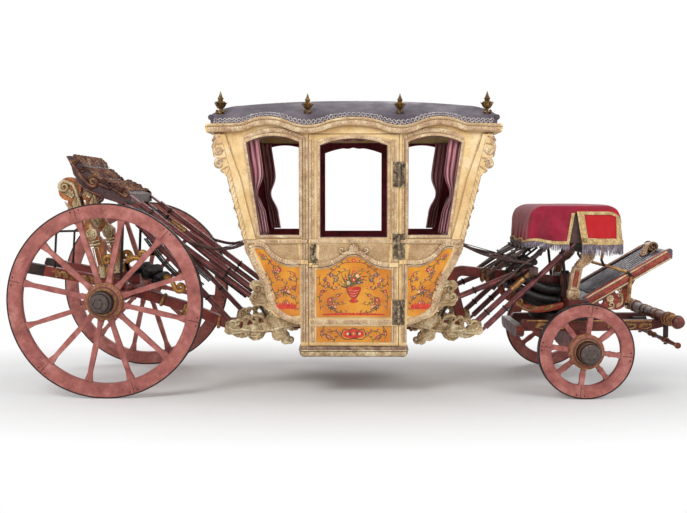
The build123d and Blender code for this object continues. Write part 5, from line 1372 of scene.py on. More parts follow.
def roof_band():
    """Two rows of nails' trim in zigzag over the roof's edge, along its waves."""
    made = Piece()
    line = np.array([p for p in evenly(wave_line(), 0.012) if abs(p[0]) < 1.185])
    for rise in (0.016, 0.038):
        points, ups = [], []
        for x, z in line + (0, rise):
            if z < 2.383:
                points.append((CABIN_X + x, -ROOF_HALF, z))
                ups.append((0, -1, 0.0))
            else:
                y = -math.sqrt(ROOF_R ** 2 - (z - ROOF_ZC) ** 2)
                points.append((CABIN_X + x, y - 0.0005, z))
                ups.append((0, y / ROOF_R, (z - ROOF_ZC) / ROOF_R))
        path = np.array(points)
        run, pitch = run_along(path), 0.0195
        for k in range(int(run[-1] / pitch)):
            s = (k + 0.5) * pitch
            at = np.array([np.interp(s, run, path[:, i]) for i in range(3)])
            ahead = np.array([np.interp(s + 0.003, run, path[:, i]) for i in range(3)]) - at
            up = np.array(ups[int(np.searchsorted(run, s)) - 1])
            ahead /= np.linalg.norm(ahead)
            over = np.cross(ahead, up)
            over /= np.linalg.norm(over)
            lean = 1 if k % 2 else -1
            half = ahead * 0.0075 * lean + over * 0.0085
            made.add(sweep(np.array([at - half, at + half]), half_round(1, 1, 5), up, 0.0034, 0.0032))
    return made.both_sides()


roof_band().make("roof_nail_band", "coach", "gilt_bronze", "nail_trim")


def roof_ends():
    """Rolled ends of the gutters."""
    made = Piece()
    for end in (-1, 1):
        at = (CABIN_X + end * 1.196, -0.755, 2.367)
        made.add(lathe([(-0.001, 0.024), (0.006, 0.024), (0.009, 0.021), (0.006, 0.016), (0.004, 0.014),
                        (0.008, 0.01), (0.012, 0.004)], at, OUT, 24))
    return made.both_sides()


roof_ends().make("gutter_ends", "coach", "roof_leather")


def plinth_carving():
    """Carved and plain mouldings along the plinth under the doors."""
    made = Piece()
    face = -0.762
    line = np.array([(-0.448, 0.372), (0.448, 0.372)])
    made.carved(line, face, 0.017, 0.012, 0.03, 0.8, 0.15)
    made.bead(line + (0, 0.027), face, 0.006, 0.007, half_round())
    made.bead(line * (0.94, 1) - (0, 0.014), face, 0.004, 0.006, half_round())
    return made.both_sides()


plinth_carving().make("plinth_carving", "coach", "gilt_wood", "bracket_gilding")


# Linings

LINING_NEAR, LINING_FAR = -0.6948, -0.6895


def lined(outer, window):
    """Velvet on the right side round a window, with its turned edge."""
    return Piece(ring_panel(outer, beside(window, 0.002, True), LINING_NEAR, LINING_FAR),
                 sweep(at_side(beside(window, 0.0025, True), -0.692), BAND, OUT, 0.0018, 0.04, True))


lined([(0.386, 1.3), (0.386, 2.224), (1.085, 2.224), (0.87, 1.33), (0.858, 1.3)],
      quarter_window).both_ends().both_sides().make("quarter_lining", "coach", "upholstery")
door_pieces(lined([(-0.37, 1.04), (-0.37, 2.216), (0.37, 2.216), (0.37, 1.04)], door_window), "door_lining",
            "upholstery")


# Painted ornament

PANEL_FACE = -SIDE_Y - 0.003


class Painting:
    """Painted motifs on the coach's right side, gathered by colour."""

    def __init__(self):
        self.colours = {}

    def add(self, colour, shape):
        self.colours.setdefault(colour, Piece()).add(shape)

    def stem(self, colour, points, width=0.0032, height=0.0008):
        path = evenly(points, 0.008)
        t = np.linspace(0, 1, len(path))
        self.add(colour, sweep(at_side(path, PANEL_FACE), half_round(1, 1, 5), OUT,
                               width * (0.35 + 0.65 * np.sin(np.pi * np.clip(t, 0.03, 0.97)) ** 0.6), height))

    def blade(self, colour, x, z, heading, long, width):
        """A small painted leaf from a point."""
        a = math.radians(heading)
        t = np.linspace(0, 1, 6)
        bend = 0.18 * long * np.sin(np.pi * t)
        points = np.stack([x + t * long * math.cos(a) - bend * math.sin(a),
                           z + t * long * math.sin(a) + bend * math.cos(a)], 1)
        self.add(colour, sweep(at_side(points, PANEL_FACE), half_round(1, 1, 5), OUT,
                               width * np.sin(np.pi * (0.08 + 0.88 * t)), 0.0009))

    def bloom(self, x, z, radius, colour="paint_red", petals=6):
        self.add(colour, flower((CABIN_X + x, PANEL_FACE, z), OUT, radius, 0.0018, petals))
        self.add("paint_pale", lathe([(0, radius * 0.34), (0.0009, radius * 0.28), (0.0012, radius * 0.1)],
                                     (CABIN_X + x, PANEL_FACE - 0.0014, z), OUT, 8))

    def sprig(self, points, end_radius, turns, side, colour="paint_dark", step=0.024, long=0.03, buds=True):
        """A scrolling stem with leaves on both of its sides and a flower in its eye."""
        line = scroll(points, end_radius, turns, side)
        self.stem(colour, line)
        places = evenly(line, step)
        for k in range(1, len(places) - 1):
            run = places[k + 1] - places[k - 1]
            heading = math.degrees(math.atan2(run[1], run[0]))
            way = 1 if k % 2 else -1
            shade = ("paint_green", "paint_dark", "paint_orange", "paint_plum")[(k * 7) % 4]
            self.blade(shade, *places[k], heading + way * 48, long * (0.8 + 0.35 * ((k * 5) % 3) / 2), 0.0052)
        if buds:
            self.bloom(*line[-1], end_radius * 0.62, "paint_red" if side > 0 else "paint_plum", 5)

    def mirrored(self, about=0.0):
        """The same motifs also on the other side of an upright line."""
        for made in self.colours.values():
            made.shapes += made.mirror(0, CABIN_X + about).shapes
        return self

    def bouquet(self, x, z, size):
        """A few flowers and leaves together."""
        for k, (dx, dz, share, colour) in enumerate([
                (0, 0.2, 1.0, "paint_red"), (-0.9, -0.1, 0.75, "paint_pale"), (0.9, 0.0, 0.8, "paint_plum"),
                (-0.45, 0.95, 0.65, "paint_orange"), (0.5, 1.0, 0.65, "paint_red")]):
            self.bloom(x + dx * size, z + dz * size, size * 0.62 * share, colour, 5 + k % 2)
        for k in range(9):
            self.blade("paint_green" if k % 2 else "paint_dark", x, z, -150 + k * 38, size * 1.9, size * 0.22)

    def ground(self, x0, x1, z, high, teeth=9):
        """Red ground at the foot of a panel, its upper edge in small waves."""
        count = teeth * 6 + 1
        t = np.linspace(0, 1, count)
        wave = 0.55 + 0.45 * np.abs(np.sin(np.pi * t * teeth)) ** 0.8
        top = high * wave * np.sin(np.pi * (0.04 + 0.92 * t)) ** 0.3
        path = np.stack([CABIN_X + x0 + (x1 - x0) * t, np.full(count, PANEL_FACE), np.full(count, z)], 1)
        outline = np.zeros((count, 4, 2))
        outline[:, 0] = (0, 0)
        outline[:, 1, 1] = outline[:, 2, 1] = 1
        outline[:, 2, 0] = outline[:, 3, 0] = -1
        self.add("paint_red", sweep(path, outline, OUT, top, 0.0009))
        for k in range(teeth):
            self.blade("paint_orange", x0 + (x1 - x0) * (k + 0.5) / teeth, z + high * 0.15, 80 - (k % 3) * 20,
                       high * 0.6, 0.004)

    def make(self, name, body):
        for colour, made in self.colours.items():
            made.make(name + "_" + colour[6:], body, "painted_panel", colour, sharp=60)

    def other(self):
        """The same motifs on the coach's left side."""
        made = Painting()
        made.colours = {colour: piece.mirror(1) for colour, piece in self.colours.items()}
        return made


def door_painting():
    """A vase of flowers between sprigs, on the right door's large panel."""
    p = Painting()
    p.sprig([(0.03, 0.716), (0.11, 0.722), (0.19, 0.752), (0.222, 0.812)], 0.034, 1.1, 1)
    p.sprig([(0.02, 1.15), (0.09, 1.142), (0.15, 1.1), (0.2, 1.062)], 0.028, 1.1, -1)
    p.sprig([(0.28, 0.74), (0.288, 0.83), (0.282, 0.9)], 0.022, 1.1, 1)
    p.sprig([(0.284, 1.048), (0.29, 0.99), (0.27, 0.95)], 0.02, 1.0, -1, buds=False)
    p.sprig([(0.04, 1.08), (0.11, 1.066), (0.164, 1.02)], 0.026, 1.15, -1, "paint_green")
    p.sprig([(0.06, 0.8), (0.128, 0.79), (0.16, 0.83), (0.15, 0.872)], 0.022, 1.0, 1, "paint_green")
    p.sprig([(0.11, 0.93), (0.17, 0.92), (0.222, 0.95)], 0.02, 1.0, 1)
    p.bouquet(0.18, 0.775, 0.024)
    p.bouquet(0.238, 1.0, 0.015)
    for k in range(9):
        t = k / 8
        x = 0.07 + 0.16 * t
        z = 1.036 - 0.16 * t * (1 - t) * 2.4 + 0.01 * t
        p.bloom(x, z - 0.02, 0.0065 if k % 2 else 0.0085, "paint_pale" if k % 2 else "paint_orange", 5)
    p.mirrored()
    rows = [(-0.075, 0.006), (-0.068, 0.03), (-0.054, 0.036), (-0.046, 0.014), (-0.02, 0.03), (0.014, 0.05),
            (0.046, 0.06), (0.056, 0.052), (0.062, 0.064)]
    for colour, grow, rise in (("paint_dark", 0.004, 0.0008), ("paint_red", 0.0, 0.0016)):
        path = np.array([(CABIN_X, PANEL_FACE, 0.88 + z) for z, _ in rows])
        wide = np.array([w for _, w in rows]) + grow
        p.add(colour, sweep(path, half_round(1, 1, 9), OUT, wide, rise))
    for z, wide in ((0.872, 0.034), (0.894, 0.05), (0.916, 0.06)):
        p.stem("paint_pale", smooth([(-wide * 0.75, z), (0, z - 0.01), (wide * 0.75, z)], 8), 0.0026, 0.0024)
    for x, z, radius, colour in ((0, 1.0, 0.024, "paint_red"), (-0.044, 0.975, 0.019, "paint_pale"),
                                 (0.046, 0.978, 0.019, "paint_plum"), (-0.03, 1.03, 0.016, "paint_plum"),
                                 (0.032, 1.034, 0.016, "paint_pale"), (0, 1.066, 0.017, "paint_red"),
                                 (-0.07, 1.012, 0.013, "paint_red"), (0.072, 1.016, 0.013, "paint_red"),
                                 (0, 1.164, 0.019, "paint_red"), (0, 1.108, 0.01, "paint_orange")):
        p.bloom(x, z, radius, colour)
    for k in range(15):
        p.blade("paint_green" if k % 2 else "paint_dark", 0, 0.955, 8 + k * 11.7, 0.105 + 0.02 * (k % 3), 0.007)
    p.ground(-0.262, 0.262, 0.7, 0.022, 17)
    return p


def lower_painting():
    """An oval shield between sprigs, on the right door's low panel."""
    p = Painting()
    p.sprig([(0.105, 0.505), (0.15, 0.56), (0.205, 0.56), (0.232, 0.53)], 0.024, 1.0, -1)
    p.sprig([(0.11, 0.575), (0.15, 0.5), (0.205, 0.492)], 0.024, 1.0, 1, "paint_green")
    p.sprig([(0.262, 0.5), (0.284, 0.54), (0.27, 0.575)], 0.014, 1.0, 1, buds=False)
    p.mirrored()
    frame_line = smooth([(-0.095, 0.51), (-0.1, 0.545), (-0.08, 0.58), (-0.04, 0.574), (0, 0.588), (0.04, 0.574),
                         (0.08, 0.58), (0.1, 0.545), (0.095, 0.51), (0.06, 0.492), (0, 0.5), (-0.06, 0.492)], 6,
                        True)
    centre = np.array([(CABIN_X + x, PANEL_FACE, 0.54) for x in np.linspace(-0.088, 0.088, 23)])
    wide = 0.038 * np.sqrt(1 - (np.linspace(-0.98, 0.98, 23)) ** 2) + 0.003
    p.add("paint_red", sweep(centre, half_round(1, 1, 7), OUT, wide, 0.0007))
    p.add("paint_dark", sweep(at_side(frame_line, PANEL_FACE), half_round(1, 1, 5), OUT, 0.0038, 0.0016, True))
    p.bloom(0, 0.541, 0.019, "paint_orange")
    for side in (-1, 1):
        p.bloom(side * 0.05, 0.541, 0.013, "paint_pale")
        for k in range(4):
            p.blade("paint_dark", side * 0.02, 0.541, 90 - side * (50 + 27 * k), 0.03, 0.005)
    return p


def quarter_painting():
    """Sprigs and bouquets on the right side's front quarter."""
    p = Painting()
    p.sprig([(0.8, 1.236), (0.74, 1.19), (0.69, 1.13), (0.63, 1.11)], 0.03, 1.1, 1)
    p.sprig([(0.56, 1.076), (0.51, 1.06), (0.484, 1.0), (0.49, 0.93)], 0.022, 1.0, 1)
    p.sprig([(0.744, 1.08), (0.704, 1.01), (0.69, 0.93), (0.668, 0.88)], 0.02, 1.1, -1)
    p.sprig([(0.5, 0.73), (0.484, 0.79), (0.5, 0.86)], 0.02, 1.1, -1, "paint_green")
    p.sprig([(0.56, 0.94), (0.6, 0.99), (0.656, 1.01)], 0.022, 1.1, 1, "paint_green")
    p.sprig([(0.64, 0.77), (0.662, 0.82), (0.65, 0.87)], 0.014, 1.0, 1, buds=False)
    p.bouquet(0.578, 0.905, 0.028)
    p.bouquet(0.66, 1.07, 0.02)
    p.bouquet(0.76, 1.19, 0.016)
    p.bouquet(0.53, 1.01, 0.014)
    p.ground(0.486, 0.664, 0.752, 0.062, 7)
    p.bouquet(0.575, 0.806, 0.018)
    for x, z, radius in ((0.5, 1.046, 0.011), (0.7, 1.16, 0.01), (0.62, 1.0, 0.009), (0.8, 1.215, 0.009)):
        p.bloom(x, z, radius, "paint_red", 5)
    return p


for side, sign in (("right", 1), ("left", -1)):
    for name, painting in (("door_painting", door_painting()), ("lower_painting", lower_painting())):
        (painting if sign > 0 else painting.other()).make(name + "_" + side, side + "_door")
quarters = quarter_painting()
for made in quarters.colours.values():
    made.both_ends().both_sides()
quarters.make("quarter_painting", "coach")


# Hinges and locks

HINGE_X = 0.3815
LOCK_X, LOCK_Z = -0.345, 1.216


def hinge_ornament(on_door):
    """Pierced scrolls and leaves over one leaf of each hinge of the right door."""
    made = Piece()
    side = -1 if on_door else 1
    x, face = HINGE_X + side * 0.026, -SIDE_Y - 0.0045
    for z in HINGES:
        for way in (-1, 1):
            line = scroll([(x, z), (x + side * 0.006, z + way * 0.045), (x - side * 0.004, z + way * 0.078)], 0.012,
                          1.1, -side * way)
            made.scrollwork(at_side(line, face), OUT, 0.005, 0.006)
            path = smooth([(x, z + way * 0.01), (x + side * 0.01, z + way * 0.05), (x + side * 0.002, z + way * 0.1)],
                          6)
            made.add(leaf(at_side(path, face), OUT, 0.01, 0.007, 5))
            path = smooth([(x + side * 0.004, z + way * 0.004), (x + side * 0.018, z + way * 0.02)], 6)
            made.add(leaf(at_side(path, face), OUT, 0.007, 0.006, 3))
        made.add(flower((CABIN_X + x, face, z), OUT, 0.011, 0.009, 6))
    return made


def lock_ornament():
    """Pierced scrolls and leaves over the right door's lock."""
    made = Piece()
    x, z, face = LOCK_X, LOCK_Z, -SIDE_Y - 0.0065
    for way in (-1, 1):
        line = scroll([(x, z), (x - 0.008, z + way * 0.05), (x + 0.006, z + way * 0.08)], 0.012, 1.2, -way)
        made.scrollwork(at_side(line, face), OUT, 0.006, 0.008)
        for dx in (-0.01, 0.012):
            path = smooth([(x, z), (x + dx, z + way * 0.035), (x + dx * 0.4, z + way * 0.085)], 6)
            made.add(leaf(at_side(path, face), OUT, 0.01, 0.009, 5))
    for dx, curl_z, r in ((0.04, 1.13, 0.018), (-0.016, 1.106, 0.014), (0.03, 1.168, 0.012)):
        line = scroll([(x, 1.15), (x + dx * 0.6, curl_z + 0.01), (x + dx, curl_z)], r * 0.6, 1.0, 1 if dx > 0 else -1)
        made.scrollwork(at_side(line, -SIDE_Y), OUT, 0.006, 0.014)
    return made


door_pieces(hinge_ornament(True), "hinge_scrolls", "gilt_bronze", "hinge_bronze")
door_pieces(lock_ornament(), "lock_scrolls", "gilt_bronze", "hinge_bronze")
hinge_ornament(False).both_sides().make("pillar_hinge_scrolls", "coach", "gilt_bronze", "hinge_bronze")


# Wheels

SPOKE_COLLAR_R = 0.2
WHEELS = (
    # end, x, radius, spokes, first spoke, felloe, nave, its bands (out from the plane, radius), nut (out, radius)
    ("rear", REAR_X, REAR_R, 12, 17.5, 0.113, 0.15,
     ((-0.134, 0.091), (-0.186, 0.079), (-0.104, 0.094), (0.11, 0.093)), (0.224, 0.046)),
    ("front", FRONT_X, FRONT_R, 8, 38.0, 0.1, 0.143,
     ((-0.116, 0.091), (-0.162, 0.084), (-0.086, 0.096), (0.094, 0.088)), (0.198, 0.048)))


def wheel_trim(radius, spokes, first, felloe, nave, bands, nut):
    """Irons, mouldings and nave rings of a wheel round the origin, its outer face towards -y."""
    iron, paint, rings = Piece(), Piece(), Piece()
    inner = radius - 0.012 - felloe
    for k in range(spokes // 2):
        a = math.radians(first + (k * 2 + 1) * 360 / spokes)
        d = facing(a)
        for side in (-1, 1):
            ends = np.array([d * (inner + 0.003), d * (radius - 0.014)]) + (0, side * 0.0285, 0)
            iron.add(sweep(ends, half_round(1, 1, 5), (0, side, 0), 0.0022, 0.0022))
        for turn in (-0.045, 0.045):
            nail = facing(a + turn * 0.82 / radius) * (radius - 0.03)
            for side in (-1, 1):
                iron.add(lathe([(0, 0.006), (0.002, 0.006), (0.003, 0.003)], nail + (0, side * 0.029, 0),
                               (0, side, 0), 8))
    for side in (-1, 1):
        paint.add(sweep(hoop(inner + 0.007, side * 0.029, 96), half_round(1, 1, 5), (0, side, 0), 0.004, 0.003, True))
    for k in range(spokes):
        d = facing(math.radians(first + k * 360 / spokes))
        for r, size in ((inner - 0.02, 0.025), (SPOKE_COLLAR_R, 0.0275)):
            path = np.array([d * (r - 0.006), d * (r + 0.006)])
            paint.add(sweep(path, circle(1, 12) * (1, 0.92), LEFT, size, size))
    for y, r in bands:
        iron.add(lathe([(-0.007, r), (-0.007, r + 0.004), (0, r + 0.006), (0.007, r + 0.004), (0.007, r)], (0, y, 0),
                       OUT, 32))
    nut_out, nut_r = nut
    iron.add(lathe([(0.0, nut_r), (0.004, nut_r * 1.06), (0.007, nut_r * 0.95)], (0, -nut_out, 0), OUT, 6))
    for out, r, size in ((0.0375, nave + 0.001, 0.006), (0.055, nave - 0.022, 0.005), (0.078, nave - 0.04, 0.005),
                         (0.088, nave - 0.05, 0.004)):
        rings.add(sweep(hoop(r, -out, 48), circle(1, 6), OUT, size, size, True))
    for k in range(spokes):
        a = math.radians(first + (k + 0.5) * 360 / spokes)
        for turn in (-0.2, 0.0, 0.2):
            d = facing(a + turn)
            start, end = d * (nave - 0.003) + (0, -0.0405, 0), d * (nave - 0.018) + (0, -0.056, 0)
            rings.add(leaf(np.linspace(start, end, 6), (d + OUT) / 1.414, 0.007, 0.005, 2))
    return iron, paint, rings


def moved(shape, way, x, y, z):
    """A wheel's shape set in its place on its own side; way is 1 on the left."""
    verts, faces = np.array(shape[0], float), shape[1]
    if way > 0:
        verts = verts * (1, -1, 1)
        faces = [tuple(reversed(f)) for f in faces]
    return verts + (x, y, z), faces


for end, x, radius, *rest in WHEELS:
    trim = wheel_trim(radius, *rest)
    for side, way in (("right", -1), ("left", 1)):
        for piece, name, slot, look in zip(trim, ("irons", "mouldings", "nave_rings"),
                                           ("iron", "wheel_wood", "gilt_wood"), (None, None, "nave_gilding")):
            body = f"{end}_{side}_wheel"
            Piece(*[moved(shape, way, x, way * TRACK_Y, radius) for shape in piece.shapes]).make(
                f"{body}_{name}", body, slot, look)


# Front stand

BOARD_SLOPE = math.radians(30.4)
BOARD_FOOT = (2.09, 0.77)
BOARD_UP = (-math.sin(BOARD_SLOPE), 0, math.cos(BOARD_SLOPE))


def board_point(along, up):
    """Point (x, z) at a distance along the footboard from its lower edge and up from its face."""
    return (BOARD_FOOT[0] + along * math.cos(BOARD_SLOPE) - up * math.sin(BOARD_SLOPE),
            BOARD_FOOT[1] + along * math.sin(BOARD_SLOPE) + up * math.cos(BOARD_SLOPE))


def footboard_trim():
    """Gilt and red mouldings on the footboard's rails, its leather, and the carved scroll at its top."""
    gold, red, leather = Piece(), Piece(), Piece()
    for up, wide, high, pitch in ((0.016, 0.007, 0.006, 0.018), (-0.052, 0.006, 0.005, 0.018)):
        path = upright([board_point(0.05, up), board_point(0.865, up)], -0.384)
        gold.add(carved_band(path, OUT, wide, high, pitch))
    red.add(sweep(upright([board_point(0.046, -0.018), board_point(0.872, -0.018)], -0.384), BEAD, OUT, 0.024, 0.006))
    top = upright([board_point(0.03, 0.024), board_point(0.872, 0.024)], -0.367)
    red.add(sweep(top, half_round(), BOARD_UP, 0.015, 0.01))
    gold.add(sweep(top + (0, 0.0155, 0), half_round(), BOARD_UP, 0.004, 0.006))
    gold.both_sides()
    for k in range(9):
        path = upright([board_point(0.12, 0.0), board_point(0.5, 0.0), board_point(0.86, 0.0)], -0.288 + k * 0.072)
        leather.add(sweep(evenly(path, 0.05), BEAD, BOARD_UP, 0.031, 0.01))
    # Each scroll is laid twice, which deepens its shade
    for side in (-1, 1, -1, 1):
        gold.curl([board_point(0.8, 0.006), board_point(0.84, 0.012), board_point(0.87, 0.022)], 0.038, 1.3, 1,
                  side * 0.072, 0.013, 0.03, (0, side, 0))
    x, z = board_point(0.852, 0.052)
    gold.add(lathe([(-0.072, 0.03), (-0.06, 0.04), (-0.03, 0.036), (0, 0.044), (0.03, 0.036), (0.06, 0.04),
                    (0.072, 0.03)], (x, 0, z), LEFT, 20))
    for y in (-0.046, 0.0, 0.046):
        gold.acanthus([board_point(0.74, 0.012), board_point(0.79, 0.04), board_point(0.83, 0.086)], y, 0.022,
                      0.018, BOARD_UP)
    return gold, red.both_sides(), leather


def bracket_ornament():
    """Gilt scrolls and a rosette on the footboard's bracket."""
    made = Piece()
    face = -0.346
    made.add(flower((2.345, face + 0.001, 0.8), OUT, 0.036, 0.014, 8))
    for points, r, side in (([(2.11, 0.735), (2.19, 0.7), (2.28, 0.7), (2.36, 0.715)], 0.03, 1),
                            ([(2.12, 0.77), (2.17, 0.8), (2.24, 0.83)], 0.026, -1),
                            ([(2.48, 0.72), (2.5, 0.8), (2.505, 0.88), (2.49, 0.94)], 0.026, 1),
                            ([(2.4, 0.72), (2.45, 0.76), (2.45, 0.83)], 0.022, 1),
                            ([(2.29, 0.86), (2.35, 0.89), (2.42, 0.9)], 0.022, -1)):
        made.curl(points, r, 1.1, side, face, 0.01, 0.012)
        (x0, z0), (x1, z1) = points[:2]
        middle = ((x0 + x1) / 2, (z0 + z1) / 2 + 0.012)
        made.add(leaf(upright(smooth([points[0], middle, points[1]], 5), face), OUT, 0.016, 0.01, 4))
    return made.both_sides()


def post_ornament():
    """Framed red panels, knots and leaf capitals on the front standards."""
    gold, red = Piece(), Piece()
    for y, up in ((-POST_Y - 0.039, OUT), (-POST_Y + 0.039, LEFT)):
        centre = smooth([(2.008, 0.915), (2.024, 0.985), (2.036, 1.05)], 8)
        red.add(sweep(upright(centre, y), BEAD, up, 0.019, 0.007))
        for dx in (-0.026, 0.026):
            gold.add(sweep(upright(smooth([(2.008 + dx, 0.895), (2.022 + dx, 0.985), (2.036 + dx, 1.07)], 6), y),
                           BEAD, up, 0.006, 0.009))
        for x0, z0, x1, z1 in ((1.975, 0.892, 2.038, 0.886), (2.006, 1.072, 2.068, 1.068)):
            gold.add(sweep(upright([(x0, z0), (x1, z1)], y), BEAD, up, 0.009, 0.012))
        for points in ([(2.03, 1.09), (2.07, 1.13), (2.11, 1.19)], [(2.04, 1.08), (2.1, 1.11), (2.16, 1.18)],
                       [(1.98, 0.81), (2.0, 0.85), (2.01, 0.885)], [(2.04, 0.81), (2.03, 0.85), (2.02, 0.885)],
                       [(2.08, 1.2), (2.11, 1.16), (2.17, 1.15)]):
            gold.acanthus(points, y, 0.022, 0.018, up)
        gold.curl([(2.06, 1.1), (2.12, 1.11), (2.16, 1.15)], 0.026, 1.2, 1, y, 0.01, 0.014, up)
    return gold.both_sides(), red.both_sides()


gold, red, leather = footboard_trim()
gold.make("footboard_gilding", "coach", "footboard_leather", "carved_gilding")
red.make("footboard_rails", "coach", "footboard_leather", "red_gilt_paint")
leather.make("footboard_pleats", "coach", "footboard_leather")
bracket_ornament().make("bracket_ornament", "coach", "carved_wood", "carved_gilding")
gold, red = post_ornament()
gold.make("post_gilding", "coach", "carved_wood", "carved_gilding")
red.make("post_panels", "coach", "carved_wood", "red_gilt_paint")


SPLINTER_BAR = (2.825, 0.637)
SWINGLETREE_X, SWINGLETREE_Y, SWINGLETREE_Z = 2.835, -0.37, 0.434


def turned_bands():
    """Gilt windings on the splinter bar's ends and rings on its middle."""
    made = Piece()
    for y, r in ([(0.56 + 0.013 * k, 0.0475 - 0.0003 * k) for k in range(6)] + [(0.448, 0.056), (0.518, 0.056),
                 (0.7, 0.055), (0.2, 0.0485), (0.214, 0.0485), (0.09, 0.0485)]):
        made.add(sweep(hoop(r, -y, 40, SPLINTER_BAR), circle(1, 6), LEFT, 0.0048, 0.0048, True))
    return made.both_sides()


turned_bands().make("splinter_bar_bands", "fore_carriage", "gilt_wood", "nave_gilding")


def swingletree_bands():
    """Gilt rings on the right swingletree's ends and middle."""
    made = Piece()
    for y, r in ((0.285, 0.0175), (0.318, 0.0245), (-0.285, 0.0175), (-0.318, 0.0245), (0.04, 0.024), (-0.04, 0.024)):
        ring = hoop(r, SWINGLETREE_Y + y, 24, (SWINGLETREE_X, SWINGLETREE_Z))
        made.add(sweep(ring, circle(1, 6), LEFT, 0.0035, 0.0035, True))
    return made


swingletree_bands().make("swingletree_rings_right", "right_swingletree", "gilt_wood", "nave_gilding")
swingletree_bands().mirror(1).make("swingletree_rings_left", "left_swingletree", "gilt_wood", "nave_gilding")


def fore_carving():
    """Gilt leaves and scrolls along the futchells and on the sway bar's ends."""
    made = Piece()
    face = -0.2855
    made.add(carved_band(upright([(1.62, 0.592), (2.74, 0.592)], face), OUT, 0.007, 0.007, 0.02))
    for x in (1.7, 1.86, 2.34, 2.48, 2.62):
        made.acanthus([(x, 0.53), (x + 0.04, 0.56), (x + 0.1, 0.562)], face, 0.02, 0.014)
        made.curl([(x + 0.02, 0.53), (x + 0.07, 0.522), (x + 0.11, 0.54)], 0.016, 1.1, 1, face, 0.007, 0.01)
    for y in (-0.4, -0.34):
        made.add(flower((1.574, y, 0.52), (-1, 0, 0), 0.022, 0.012, 6))
    return made.both_sides()


fore_carving().make("fore_carriage_gilding", "fore_carriage", "gilt_wood", "nave_gilding")


# Straps and dark gear

REAR_BRACES = (((-1.9, 1.715), (-0.813, 0.884)), ((-1.94, 1.65), (-0.815, 0.808)), ((-2.01, 1.668), (-0.995, 0.574)))
FRONT_BRACES = (((2.006, 1.3), (1.193, 0.52)), ((1.635, 1.052), (1.115, 0.57)), ((1.615, 1.082), (0.945, 0.806)))


def ply(made, start, end, y, up_by, wide, thick, cut=(0.06, 0.06)):
    """Leather strip along a brace, set off from its middle."""
    a, b = np.array(start), np.array(end)
    d = (b - a) / np.linalg.norm(b - a)
    side = np.array([-d[1], d[0]])
    if side[1] < 0:
        side = -side
    path = evenly(upright([a + d * cut[0] + side * up_by, b - d * cut[1] + side * up_by], y), 0.04)
    made.add(sweep(path, BEAD, (side[0], 0, side[1]), wide, thick))
    return path, (side[0], 0, side[1]), (d[0], 0, d[1])


def buckle(made, at, along, up, half=0.044, high=0.03):
    """Iron frame round a strap."""
    at, along, up = np.array(at), np.array(along), np.array(up)
    side = np.cross(along, up)
    ring = np.array([at + side * a + up * b for a, b in ((-half, -high), (half, -high), (half, high), (-half, high))])
    made.add(sweep(smooth(ring, 3, True), circle(1, 6), along, 0.0055, 0.008, True))


def brace_dressing():
    """Outer plies, buckles and wound sleeves of the braces."""
    plies, irons, gold = Piece(), Piece(), Piece()
    for rows, cuts in ((FRONT_BRACES, ((0.03, 0.05), (0.05, 0.05), (0.05, 0.04))),
                       (REAR_BRACES, ((0.12, 0.04), (0.13, 0.04), (0.16, 0.05)))):
        for (start, end), cut in zip(rows, cuts):
            for off in (0.013, -0.013):
                path, up, along = ply(plies, start, end, -0.42, off, 0.033, math.copysign(0.01, off), cut)
            for share in (0.12, 0.8):
                at = path[int(share * (len(path) - 1))] + np.array(up) * 0.013
                buckle(irons, at, along, up, 0.042, 0.022)
    for (x0, z0), (x1, z1) in (((1.63, 1.048), (1.455, 0.886)), ((-1.69, 1.463), (-1.56, 1.366))):
        d = np.array([x1 - x0, 0, z1 - z0])
        d /= np.linalg.norm(d)
        up = np.array([-d[2], 0, d[0]])
        up = up if up[2] > 0 else -up
        path = evenly([(x0, -0.42, z0), (x1, -0.42, z1)], 0.012)
        t = np.arange(len(path))
        gold.add(sweep(path, circle(1, 12), up, 0.044 + 0.003 * (t % 2), 0.027 + 0.003 * (t % 2)))
    return plies.both_sides(), irons.both_sides(), gold.both_sides()


plies, irons, gold = brace_dressing()
plies.make("brace_plies", "coach", "brace_leather", "brace_plies")
irons.make("brace_buckles", "coach", "iron")
gold.make("brace_sleeves", "coach", "brace_leather", "nave_gilding")


